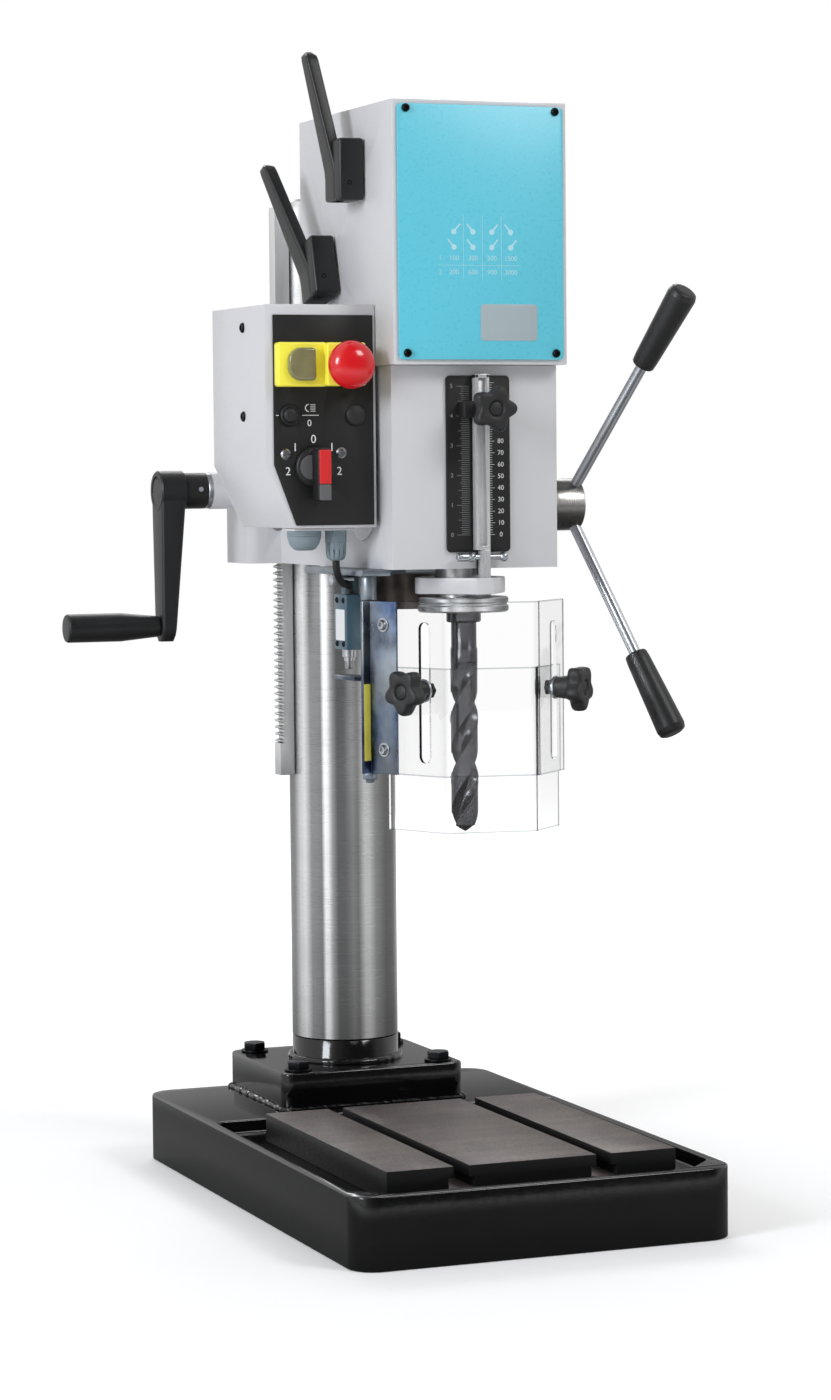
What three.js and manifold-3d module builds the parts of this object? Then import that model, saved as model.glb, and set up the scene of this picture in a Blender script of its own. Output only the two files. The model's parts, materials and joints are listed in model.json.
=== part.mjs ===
// Benchtop drill press with a gear head, in millimetres.
// +Z is up, +X is the operator's right and -Y is the front, where the operator stands.
// The origin is on the bench, under the middle of the base.
import * as THREE from "three";
import { mergeVertices } from "three/addons/utils/BufferGeometryUtils.js";
import Module from "manifold-3d";

const wasm = await Module();
wasm.setup();

// Fits and facets
const gap = 0.3;            // running and seating gap between neighbours
const overrun = 2;          // how far a cutting solid runs past the faces that it opens
const roundSides = 36;      // sides of a large round piece
const mediumSides = 16;     // sides of a hand-sized round piece
const smallSides = 12;      // sides of a small shaft or screw
const hexSides = 6;
const cornerSteps = 4;      // steps in a quarter-round corner

// Base casting
const baseWidth = 345;
const baseDepth = 570;
const baseHeight = 62;
const baseCorner = 24;
const baseWall = 11;        // rim beside the coolant trough
const baseSkirt = 16;       // outer wall below the trough
const ribThickness = 14;
const troughDepth = 12;
const troughFloor = 14;
const troughToColumn = 101; // from the trough's back edge to the column's axis
const troughCorner = 30;    // the corner pads around the hold-down holes cut this much off
const tableWidth = 264;
const tableInset = 36;      // from the base's front edge
const tableToColumn = 147;
const tableRise = 13;       // machined table above the rim
const slotSpacing = 130;    // between the two T-slots
const slotWidth = 14;
const slotFootWidth = 23;
const slotNeck = 10;
const slotFoot = 9;
const holdDownSide = 24.5;  // from the base's sides
const holdDownFront = 24;   // from its front edge
const holdDownBack = 17;    // from its back edge
const holdDownRadius = 6;
const holdDownBoss = 16;

// Column and its flange
const columnY = 200;
const columnSetback = 85;   // from the column's axis to the base's back edge
const columnRadius = 50;
const columnBore = 38;
const columnTop = 905;
const columnSeat = 120;     // the turned column starts above the painted collar
const spigotRadius = 45;
const spigotLength = 46;
const capThickness = 4;
const flangeWidth = 180;
const flangeDepth = 160;
const flangeHeight = 35;
const flangeCorner = 12;
const flangeBoltX = 70;
const flangeBoltY = 62;
const flangeBoltRadius = 6;
const flangeBoltLength = 46;
const boltHeadAcross = 22;  // across the corners
const boltHeadHeight = 7;
const washerThickness = 2;

const baseBack = columnY + columnSetback;
const baseFront = baseBack - baseDepth;
const tableFront = baseFront + tableInset;
const tableBack = columnY - tableToColumn;

// Rack on the column
const liftModule = 2;
const rackThickness = 14;
const rackDepth = 16;
const rackGap = 0.7;        // dark line between rack and column
const rackBottom = 368;
const rackTop = 898;
const rackTeethBottom = 397;
const rackTeethCount = 53;

// Head casting
const headBottom = 568;
const headTop = 742;
const headHalfWidth = 76.5;
const headFront = -134;
const neckY = 108;
const sleeveRadius = 72;
const headCavityWall = 13;
const headCavityFront = -34;
const headCavityBack = 78;
const headFloor = 22;
const earHalfWidth = 24;
const earBack = 296;
const earSlit = 4;
const clampBoltY = 283;
const clampBoltRadius = 6;
const clampBoltEnds = 9;    // bolt past each ear, under its head and nut
const clampBoltZ = 655;
const lobeLeft = -108;
const lobeFront = 156;
const lobeBack = 224;
const lobeTop = 664;

// Head lift: crank, worm, wheel and pinion
const wormY = 175;
const wormZ = 635.5;
const wormPitchRadius = 11.5;
const wormStarts = 1;
const wheelTeeth = 20;
const pinionTeeth = 14;
const pinionWidth = 14;
const wheelWidth = 8;
const liftShaftRadius = 6;
const wormJournal = 7;
const wormLeft = -97;
const wormRight = -60;
const wormEnd = -52;
const bossRadius = 17;
const bossLeft = -138;
const collarWidth = 25;
const collarRadius = 16.5;
const hubWidth = 25;
const hubRadius = 18.5;
const crankLength = 124;
const crankTipRadius = 14;
const crankArmThickness = 13;
const gripLength = 88;
const gripRadius = 13;
const gripNeck = 9;
const gripAxleRadius = 4;

// Gearbox on the head
const boxTop = 965;
const boxHalfWidth = 80;
const boxFront = -150;
const boxBack = 90;
const boxWall = 6;
const boxFloor = 8;
const boxCorner = 14;
const frontPanelInset = 4;
const frontPanelThickness = 2.5;

// Spindle, quill and tool
const spindleY = -105;
const quillRadius = 24;
const quillBore = 16;
const quillTop = 760;
const quillFit = 0.5;
const spindleRadius = 9;
const spindleTop = 928;
const splineRadius = 7.5;
const splineStart = 742;
const noseRadius = 15;
const noseBottom = 521;
const bearingWidth = 11;
const yokeDrop = 8;         // yoke below the head
const yokeHeight = 14;
const yokeRadius = 40;
const yokeShift = -2;       // the yoke sits a little left of the quill's axis
const yokeNoseFront = -151;
const yokeTop = headBottom - yokeDrop;
const yokeBottom = yokeTop - yokeHeight;
const yokeNoseHalfWidth = 8;
const nutRadius = 39;
const nutHeight = 13;
const nutDrop = 3;          // flange disc below the yoke
const nutTop = yokeBottom - nutDrop;
const nutBottom = nutTop - nutHeight;
const nutGroove = 2;
const feedModule = 1.5;
const feedTeeth = 24;
const feedPinionWidth = 9;
const quillRackWidth = 9;
const quillRackDepth = 4;
const quillRackBottom = 606;
const drillRadius = 11.7;
const drillTip = 339;
const drillShankBottom = 487;
const drillNeckRadius = 11;
const drillShankTop = 520.7;
const drillPoint = 7;

// Depth gauge
const scaleCentre = 2;
const scaleWidth = 59;
const scaleBottom = 582;
const scaleTop = 733;
const scaleThickness = 2.5;
const barWidth = 13;
const barNeckLeft = 0;
const barNeckTop = 584;
const barThickness = 8;
const barTop = 734;
const barGap = 2.2;         // bar to scale plate
const barGroove = 4;
const stopBlockBottom = 697;
const stopBlockHeight = 14;
const stopBlockLeft = -16;
const stopBlockWall = 4;
const starRadius = 20;
const starThickness = 13;
const starLobes = 5;
const starNeckRadius = 9;
const starNeckLength = 14;
const toggleZ = 578;
const toggleLeft = -21;
const toggleRight = 22;
const toggleNeck = -8;
const toggleRadius = 2.4;
const toggleBall = 4.2;
const ledgeHeight = 5.4;

// Feed capstan
const feedY = spindleY + quillRadius - feedModule * 4 / 3 + feedModule * feedTeeth / 2;
const feedZ = 621;
const feedShaftRadius = 10;
const bushFlange = 24;
const bushFlangeWidth = 5;
const bushStart = 25;
const capstanStart = 97;
const capstanEnd = 125;
const capstanRadius = 23;
const capstanNeck = 15;
const spokeX = 114;
const spokeLean = 15;       // degrees away from the head
const spokePhase = 4;       // degrees; the rest position of the three spokes
const spokeCount = 3;
const spokeRadius = 5;
const spokeSeat = 12;       // spoke end inside the hub, from its axis
const spokeLength = 230;
const spokeGripLength = 80;
const spokeGripWide = 13;
const spokeGripNarrow = 10;
const springRecess = 26;
const springWidth = 11;
const springCapRadius = 29;
const springCapThickness = 2.4;

// Gear train
const gearModule = 2;
const gearFace = 8;
const lowGearTeeth = 38;
const highGearTeeth = 27;
const layPinionTeeth = 16;
const layInputTeeth = 30;
const idlerTeeth = 24;
const motorPinionTeeth = 16;
const layX = 30;
const shaftRadius = 6;
const sleeveHub = 12;
const sleeveBottom = 775;
const sleeveTop = 872;
const highGearZ = 796;
const lowGearZ = 836;
const layHighZ = 810;
const layLowZ = 822;
const inputGearZ = 764;
const forkTravel = 5.6;
const shiftGroove = 4.5;
const shiftGrooveZ = lowGearZ + gearFace + forkTravel;
const shiftCollarRadius = 13.5;
const collarZ = shiftGrooveZ + shiftGroove + forkTravel - 4 * gap;
const clutchRadius = 20;
const clutchHeight = 15;
const bearingPlateZ = 880;
const bearingPlateThickness = 8;
const bearingRadius = 14;
const bearingPlateLeft = -38;
const bearingPlateBack = -40;

// Motor
const motorY = 26;
const motorRadius = 57;
const motorBottom = 792;
const motorTop = 955;
const motorShell = 22;
const motorEnd = 9;
const rotorGap = 1;
const motorShaftRadius = 7;
const fanClear = 14;

// Selector levers
const upperLeverY = -72;
const upperLeverZ = 910;
const lowerLeverY = -4;
const lowerLeverZ = 829;
const lowerLeverTurn = -16;     // degrees about X from the upper lever's rest
const lowerArmRise = 20;        // degrees that its inner arm points below level
const leverInner = -86;
const leverFootThickness = 18;
const leverBladeThickness = 9;
const leverFootFront = -16;
const leverFootBack = 22;
const leverFootBottom = -26;
const leverFootTop = 27;
const leverTipHeight = 104;
const leverTipY = 34;
const leverTipWidth = 13;
const leverBladeWidth = 26;
const upperLean = 14;          // how far the tip stands out from the foot's outer face
const lowerLean = 20;
const selectorShaftRadius = 6;
const selectorThrow = 16;
const selectorPinRadius = 3;
const selectorArmThickness = 5;
const selectorArmWidth = 10;
const forkRodRadius = 2.5;
const forkBlockWidth = 14;
const forkArmThickness = 3.6;
const forkArmWidth = 10;
const forkX = -60;

// Control box on the left
const controlLeft = -180;
const controlRight = -80.3;
const controlFront = -107;
const controlBack = 33;
const controlBottom = 604;
const controlTop = 794;
const controlChamferX = 26;
const controlChamferZ = 54;
const controlWall = 2.5;
const facePanelMargin = 6.5;
const facePanelRight = -83;
const facePanelThickness = 1.6;
const estopX = -114;
const estopZ = 742;
const estopHousingLeft = -173;
const estopHousingRight = -89;
const estopHousingStep = -142;
const estopHousingBottom = 724;
const estopHousingTop = 761.5;
const estopLowDepth = 12;
const estopHighDepth = 20;
const estopRadius = 20.5;
const estopStem = 8;
const estopDome = 17;
const estopLift = 7;
const lensX = -158;
const lensHalfWidth = 11;
const lensHalfHeight = 14;
const lensDepth = 6;
const buttonRowZ = 700;
const lightButtonX = -159;
const buttonRadius = 8.6;
const buttonHeight = 4.5;
const buttonStem = 5;
const rotaryX = -138;
const rotaryZ = 656;
const rotaryBaseRadius = 17;
const rotaryBaseHeight = 5;
const rotaryHandleWidth = 12;
const rotaryHandleLength = 48;
const rotaryHandleHeight = 17;
const rotaryStem = 5;
const switchBlockDepth = 40;
const switchBlockHalf = 20;
const switchBlockGap = 8;       // between the contact blocks and the box's front wall
const switchBlockFoot = 6;
const spacerY = -50;
const spacerLow = 700;
const spacerHigh = 776;
const spacerRadius = 6;
const bigGlandX = -137;
const smallGlandX = -108;
const glandY = -80;
const bigGlandRadius = 15;
const bigGlandDrop = 19;
const glandPlate = 2;
const smallGlandRadius = 10;
const smallGlandDrop = 28;

// Guard, its carrier and limit switch
const carrierLeft = -96;
const carrierRight = 22;
const carrierFront = -55;
const carrierBack = 34;
const carrierArmRight = -70;
const carrierArmFront = -112;
const carrierPlate = 5.4;
const carrierBossX = -20;
const carrierBossY = -12;
const carrierBossRadius = 42;
const carrierBossBottom = 531;
const switchLeft = -92;
const switchRight = -76;
const switchFront = -62;
const switchBack = -30;
const switchBottom = 497;
const switchTop = 545;
const switchFootWidth = 10;
const switchX = -84;
const switchY = -46;
const plungerRadius = 4;
const plungerLength = 17;
const camGap = 5;
const camThickness = 3;
const guardYaw = -10;             // degrees about Z
const guardBend = 55.5;           // degrees at each bend
const guardCorner = [-51, -182];  // outer face at the left bend
const guardFrontWidth = 83;
const guardRightWidth = 61;
const guardLeftWidth = 82;
const guardSheet = 3;
const guardBendRadius = 12;
const guardTop = 541;
const guardBottom = 393;
const guardSlotWidth = 12;
const guardSlotTop = 524;
const guardSlotBottom = 404;
const guardSlotLeft = 22;         // from the left bend
const guardSlotRight = 37;        // from the right bend
const shieldGap = 0.5;
const shieldLeftWidth = 68;
const shieldRightWidth = 57;
const shieldTop = 485;
const shieldBottom = 345;
const shieldStudZ = 466;
const studRadius = 4;
const washerDisc = 10;
const bracketLeg = 30;
const bracketReturn = 12;
const bracketSheet = 3;
const hingeBack = 9;              // rod behind the end of the shield
const hingeIn = 4;                // rod inside the shield's plane
const hingeRod = 4;
const hingeKnuckle = 7;
const hingeKnuckleHeight = 12;
const hingeNutHeight = 6;
const hingeRodBottom = 384;
const cableRadius = 3.2;
// The cable's route from the small gland to the limit switch
const cableRoute = [
  [-108, -80, 580], [-107.8, -79.8, 570], [-104.5, -76.5, 561], [-98, -69, 555.5],
  [-91.5, -61, 554.5], [-87.6, -56, 552.5], [-87, -55, 549], [-87, -55, 546],
];

// Paint, metal and plastic
function paint(color, roughness, metalness = 0) {
  return new THREE.MeshStandardMaterial({ color, roughness, metalness });
}
const blackPaint = paint(0x0c0c0d, 0.25);
const greyPaint = paint(0xc8cace, 0.4);
const turquoise = paint(0x5dc3d6, 0.35);
const blackPlastic = paint(0x1b1b1c, 0.5);
const redPlastic = paint(0xd81c22, 0.35);
const yellowPlastic = paint(0xe6dc30, 0.4);
const clearPlastic = paint(0xe8eef0, 0.05);
const glandPlastic = paint(0x8ea2ae, 0.5);
const switchGrey = paint(0x44606a, 0.5);
const brightSteel = paint(0xb8bbbe, 0.25, 1);
const darkSteel = paint(0x2b2c2e, 0.4, 0.9);
const castIron = paint(0x55504c, 0.45, 0.8);
const zinc = paint(0xa9b6c6, 0.3, 1);

// Geometry helpers
function weld(geometry) {
  const bare = geometry.clone();
  bare.deleteAttribute("normal");
  bare.deleteAttribute("uv");
  const joined = mergeVertices(bare, gap / 1000);
  const index = joined.index.array;
  const position = joined.attributes.position;
  const kept = [];
  const a = new THREE.Vector3();
  const b = new THREE.Vector3();
  const c = new THREE.Vector3();
  let volume = 0;
  for (let i = 0; i < index.length; i += 3) {
    const [p, q, r] = [index[i], index[i + 1], index[i + 2]];
    if (p === q || q === r || r === p) continue;
    kept.push(p, q, r);
    a.fromBufferAttribute(position, p);
    b.fromBufferAttribute(position, q);
    c.fromBufferAttribute(position, r);
    volume += a.dot(b.cross(c));
  }
  joined.setIndex(volume < 0 ? kept.reverse() : kept);
  return joined;
}

function solid(geometry) {
  const welded = weld(geometry);
  return new wasm.Manifold(new wasm.Mesh({
    numProp: 3,
    vertProperties: new Float32Array(welded.attributes.position.array),
    triVerts: new Uint32Array(welded.index.array),
  }));
}

function geometryOf(manifold) {
  const mesh = manifold.getMesh();
  const geometry = new THREE.BufferGeometry();
  geometry.setAttribute("position", new THREE.BufferAttribute(mesh.vertProperties, 3));
  geometry.setIndex(new THREE.BufferAttribute(mesh.triVerts, 1));
  return geometry;
}

function join(first, ...others) {
  return geometryOf(others.reduce((sum, other) => sum.add(solid(other)), solid(first)));
}

function cut(first, ...tools) {
  return geometryOf(tools.reduce((rest, tool) => rest.subtract(solid(tool)), solid(first)));
}

function block([x0, x1], [y0, y1], [z0, z1]) {
  const geometry = new THREE.BoxGeometry(x1 - x0, y1 - y0, z1 - z0);
  return geometry.translate((x0 + x1) / 2, (y0 + y1) / 2, (z0 + z1) / 2);
}

// Turns a shape that was made along Y so that it lies along the named axis
function along(geometry, axis) {
  if (axis === "x") geometry.rotateZ(-Math.PI / 2);
  if (axis === "z") geometry.rotateX(Math.PI / 2);
  return geometry;
}

// A round bar along an axis through the point, between two coordinates on that axis
function bar(axis, point, radius, [low, high], sides = mediumSides, endRadius = radius) {
  const geometry = along(new THREE.CylinderGeometry(endRadius, radius, high - low, sides), axis);
  const place = new THREE.Vector3(...point).setComponent("xyz".indexOf(axis), (low + high) / 2);
  return geometry.translate(place.x, place.y, place.z);
}

// A turned piece: pairs of radius and coordinate along the axis
function turned(axis, point, profile, sides = mediumSides) {
  const points = profile.map(([radius, place]) => new THREE.Vector2(radius, place));
  const geometry = along(new THREE.LatheGeometry(points, sides), axis);
  const place = new THREE.Vector3(...point).setComponent("xyz".indexOf(axis), 0);
  return geometry.translate(place.x, place.y, place.z);
}

// A ring or tube
function tube(axis, point, outer, inner, [low, high], sides = mediumSides) {
  const profile = [[inner, low], [outer, low], [outer, high], [inner, high], [inner, low]];
  return turned(axis, point, profile, sides);
}

function shapeOf(outline) {
  return new THREE.Shape(outline.map(([u, v]) => new THREE.Vector2(u, v)));
}

function extrude(outline, depth, steps = cornerSteps) {
  const shape = outline instanceof THREE.Shape ? outline : shapeOf(outline);
  return new THREE.ExtrudeGeometry(shape, { depth, bevelEnabled: false, curveSegments: steps });
}

// Outline in X and Y
function prismZ(outline, [z0, z1], steps) {
  return extrude(outline, z1 - z0, steps).translate(0, 0, z0);
}

// Outline in Y and Z
function prismX(outline, [x0, x1], steps) {
  const cyclic = new THREE.Matrix4().set(0, 0, 1, x0, 1, 0, 0, 0, 0, 1, 0, 0, 0, 0, 0, 1);
  return extrude(outline, x1 - x0, steps).applyMatrix4(cyclic);
}

// Outline in X and Z
function prismY(outline, [y0, y1], steps) {
  return extrude(outline, y1 - y0, steps).rotateX(Math.PI / 2).translate(0, y1, 0);
}

function roundedBlock([x0, x1], [y0, y1], radius) {
  const shape = new THREE.Shape();
  shape.moveTo(x0 + radius, y0);
  shape.absarc(x1 - radius, y0 + radius, radius, -Math.PI / 2, 0);
  shape.absarc(x1 - radius, y1 - radius, radius, 0, Math.PI / 2);
  shape.absarc(x0 + radius, y1 - radius, radius, Math.PI / 2, Math.PI);
  shape.absarc(x0 + radius, y0 + radius, radius, Math.PI, Math.PI * 3 / 2);
  return shape;
}

function ring(count) {
  return Array.from({ length: count }, (_, i) => i);
}

function radians(degrees) {
  return degrees * Math.PI / 180;
}

// A gear's teeth have straight flanks, with shares of the tooth pitch at tip and root
const tipShare = 0.1;
const rootShare = 0.32;
const addendumShare = 0.85;
const dedendumShare = 1.15;

function gearRadius(teeth, module) {
  return teeth * module / 2;
}

function gearOutline(teeth, module, phase) {
  const pitch = 2 * Math.PI / teeth;
  const tip = gearRadius(teeth, module) + module * addendumShare;
  const root = gearRadius(teeth, module) - module * dedendumShare;
  const corners = [[root, -rootShare], [tip, -tipShare], [tip, tipShare], [root, rootShare]];
  return ring(teeth).flatMap((tooth) => corners.map(([radius, share]) => {
    const angle = phase + (tooth + share) * pitch;
    return [radius * Math.cos(angle), radius * Math.sin(angle)];
  }));
}

function gear(point, teeth, module, phase, [low, high]) {
  const geometry = prismZ(gearOutline(teeth, module, phase), [low, high]);
  return geometry.translate(point[0], point[1], 0);
}

// The phase of a second gear whose gap faces the first gear's tooth
function meshPhase(first, second) {
  const heading = Math.atan2(second.at[1] - first.at[1], second.at[0] - first.at[0]);
  const turned1 = (heading - first.phase) * first.teeth / (2 * Math.PI);
  return heading + Math.PI - (0.5 - turned1) * 2 * Math.PI / second.teeth;
}

// Where the centre of a gear lies that meets two others
function meetingPoint(a, distanceA, b, distanceB) {
  const dx = b[0] - a[0];
  const dy = b[1] - a[1];
  const span = Math.hypot(dx, dy);
  const run = (distanceA ** 2 - distanceB ** 2 + span ** 2) / (2 * span);
  const rise = Math.sqrt(distanceA ** 2 - run ** 2);
  return [a[0] + (dx * run - dy * rise) / span, a[1] + (dy * run + dx * rise) / span];
}

// A body whose section turns as it goes along Z; the section gives a radius at each angle
function twisted(section, sides, [low, high], turns, steps) {
  const points = [];
  const faces = [];
  for (let step = 0; step <= steps; step += 1) {
    const share = step / steps;
    const lead = share * turns * 2 * Math.PI;
    for (let side = 0; side < sides; side += 1) {
      const angle = side / sides * 2 * Math.PI;
      const radius = section(angle - lead, share);
      points.push(radius * Math.cos(angle), radius * Math.sin(angle), low + share * (high - low));
    }
  }
  const bottom = points.length / 3;
  points.push(0, 0, low, 0, 0, high);
  for (let side = 0; side < sides; side += 1) {
    const next = (side + 1) % sides;
    for (let step = 0; step < steps; step += 1) {
      const here = step * sides;
      const above = here + sides;
      faces.push(here + side, here + next, above + next);
      faces.push(here + side, above + next, above + side);
    }
    faces.push(bottom, next, side);
    faces.push(bottom + 1, steps * sides + side, steps * sides + next);
  }
  const geometry = new THREE.BufferGeometry();
  geometry.setAttribute("position", new THREE.Float32BufferAttribute(points, 3));
  geometry.setIndex(faces);
  return geometry;
}

function hexBolt(axis, point, [head, end], across, shank, headHeight) {
  const outward = Math.sign(head - end);
  const headRange = [head, head + outward * headHeight].sort((a, b) => a - b);
  const shankRange = [head, end].sort((a, b) => a - b);
  const hex = bar(axis, point, across / 2, headRange, hexSides);
  return join(hex, bar(axis, point, shank, shankRange, smallSides));
}

// A five-lobed hand knob standing on the XY plane, with its neck below the star
function starKnob() {
  const steps = starLobes * 4;
  const outline = ring(steps).map((step) => {
    const angle = step / steps * 2 * Math.PI;
    const radius = starRadius * (0.87 + 0.13 * Math.cos(starLobes * angle));
    return [radius * Math.cos(angle), radius * Math.sin(angle)];
  });
  const star = prismZ(outline, [starNeckLength, starNeckLength + starThickness]);
  return join(star, bar("z", [0, 0, 0], starNeckRadius, [0, starNeckLength + starThickness / 2]));
}

const model = new THREE.Group();
model.name = "drill_press";

function add(name, geometry, material, parent = model) {
  const mesh = new THREE.Mesh(weld(geometry), material);
  mesh.name = name;
  parent.add(mesh);
  return mesh;
}

// Base: an open-bottomed casting with a coolant trough around the slotted table
function buildBase() {
  const halfWidth = baseWidth / 2;
  const body = prismZ(
    roundedBlock([-halfWidth, halfWidth], [baseFront, baseBack], baseCorner), [0, baseHeight]);
  const troughFront = baseFront + baseWall;
  const troughBack = columnY - troughToColumn;
  const troughHalf = halfWidth - baseWall + gap * 10;
  const troughZ = baseHeight - troughDepth;
  const trough = prismZ([
    [-troughHalf + troughCorner, troughFront], [troughHalf - troughCorner, troughFront],
    [troughHalf, troughFront + troughCorner], [troughHalf, troughBack],
    [-troughHalf, troughBack], [-troughHalf, troughFront + troughCorner],
  ], [troughZ, baseHeight + overrun]);
  const table = block([-tableWidth / 2, tableWidth / 2], [tableFront, tableBack],
    [troughZ - overrun, baseHeight + tableRise]);
  const tableTop = baseHeight + tableRise;
  const slots = [-1, 1].flatMap((side) => {
    const centre = side * slotSpacing / 2;
    const run = [tableFront - overrun, tableBack + overrun];
    const footTop = tableTop - slotNeck;
    return [
      block([centre - slotWidth / 2, centre + slotWidth / 2], run, [footTop - overrun, tableTop + overrun]),
      block([centre - slotFootWidth / 2, centre + slotFootWidth / 2], run, [footTop - slotFoot, footTop]),
    ];
  });
  const pocketTop = troughZ - troughFloor;
  const pocketRows = 4;
  const pockets = [];
  const innerX = [ribThickness / 2, halfWidth - baseSkirt];
  const rowDepth = (baseDepth - 2 * baseSkirt + ribThickness) / pocketRows;
  for (let row = 0; row < pocketRows; row += 1) {
    const y0 = baseFront + baseSkirt + row * rowDepth;
    const y1 = y0 + rowDepth - ribThickness;
    pockets.push(block(innerX, [y0, y1], [-overrun, pocketTop]));
    pockets.push(block([-innerX[1], -innerX[0]], [y0, y1], [-overrun, pocketTop]));
  }
  const holdDownX = halfWidth - holdDownSide;
  const corners = [-1, 1].flatMap((side) => [
    [side * holdDownX, baseFront + holdDownFront], [side * holdDownX, baseBack - holdDownBack],
  ]);
  const bosses = corners.map(([x, y]) => bar("z", [x, y, 0], holdDownBoss, [0, pocketTop + overrun]));
  const holes = corners.map(([x, y]) =>
    bar("z", [x, y, 0], holdDownRadius, [-overrun, baseHeight + overrun], smallSides));
  const flangeHoles = flangeCorners().map(([x, y]) =>
    bar("z", [x, y, 0], flangeBoltRadius + gap,
      [baseHeight + flangeHeight - flangeBoltLength - overrun, baseHeight + overrun], smallSides));
  const shell = cut(cut(body, trough), ...pockets);
  return cut(join(shell, table, ...bosses), ...slots, ...holes, ...flangeHoles);
}

function flangeCorners() {
  return [-1, 1].flatMap((x) => [-1, 1].map((y) => [x * flangeBoltX, columnY + y * flangeBoltY]));
}

function buildFlange() {
  const plate = prismZ(roundedBlock([-flangeWidth / 2, flangeWidth / 2],
    [columnY - flangeDepth / 2, columnY + flangeDepth / 2], flangeCorner),
  [baseHeight + gap, baseHeight + flangeHeight]);
  const centre = [0, columnY, 0];
  const collar = bar("z", centre, columnRadius, [baseHeight + gap, columnSeat - gap], roundSides);
  const bore = bar("z", centre, spigotRadius + gap, [baseHeight - overrun, columnSeat + overrun], roundSides);
  const holes = flangeCorners().map(([x, y]) => bar("z", [x, y, 0], flangeBoltRadius + gap,
    [baseHeight - overrun, baseHeight + flangeHeight + overrun], smallSides));
  return cut(join(plate, collar), bore, ...holes);
}

function buildFlangeBolt([x, y]) {
  const seat = baseHeight + flangeHeight + gap;
  return hexBolt("z", [x, y, 0], [seat, seat - flangeBoltLength], boltHeadAcross, flangeBoltRadius,
    boltHeadHeight);
}

// The tube is closed at its top and stands with a spigot in the flange
function buildColumn() {
  const chamfer = capThickness / 2;
  return turned("z", [0, columnY, 0], [
    [columnBore, columnSeat - spigotLength], [spigotRadius, columnSeat - spigotLength],
    [spigotRadius, columnSeat], [columnRadius, columnSeat], [columnRadius, columnTop - chamfer],
    [columnRadius - chamfer, columnTop], [0, columnTop], [0, columnTop - capThickness],
    [columnBore, columnTop - capThickness], [columnBore, columnSeat - spigotLength],
  ], roundSides);
}

// Rack: teeth face left, away from the column
const rackRight = -columnRadius - rackGap;
const rackLeft = rackRight - rackThickness;
const liftPitch = Math.PI * liftModule;
const rackPitchX = rackLeft + liftModule * addendumShare;

function buildRack() {
  const outline = [[rackRight, rackTop], [rackRight, rackBottom], [rackLeft, rackBottom]];
  const root = rackLeft + liftModule * (addendumShare + dedendumShare);
  for (let tooth = 0; tooth < rackTeethCount; tooth += 1) {
    const middle = rackTeethBottom + (tooth + 0.5) * liftPitch;
    outline.push([tooth === 0 ? rackLeft : root, middle - rootShare * liftPitch]);
    if (tooth === 0) outline.push([root, middle - rootShare * liftPitch]);
    outline.push([rackLeft, middle - tipShare * liftPitch], [rackLeft, middle + tipShare * liftPitch]);
    outline.push([root, middle + rootShare * liftPitch]);
  }
  const last = rackTeethBottom + (rackTeethCount - 0.5 + rootShare) * liftPitch;
  outline.push([rackLeft, last], [rackLeft, rackTop]);
  return prismY(outline, [columnY - rackDepth / 2, columnY + rackDepth / 2]);
}

// Lift gearing in the lobe beside the column
const pinionRadius = gearRadius(pinionTeeth, liftModule);
const wheelRadius = gearRadius(wheelTeeth, liftModule);
const liftX = rackPitchX - pinionRadius;
const liftZ = wormZ - wormPitchRadius - wheelRadius;
const wormTip = wormPitchRadius + liftModule * addendumShare;
const wormRoot = wormPitchRadius - liftModule * dedendumShare;
const wormBore = wormTip + 1.5 * gap;

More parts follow.
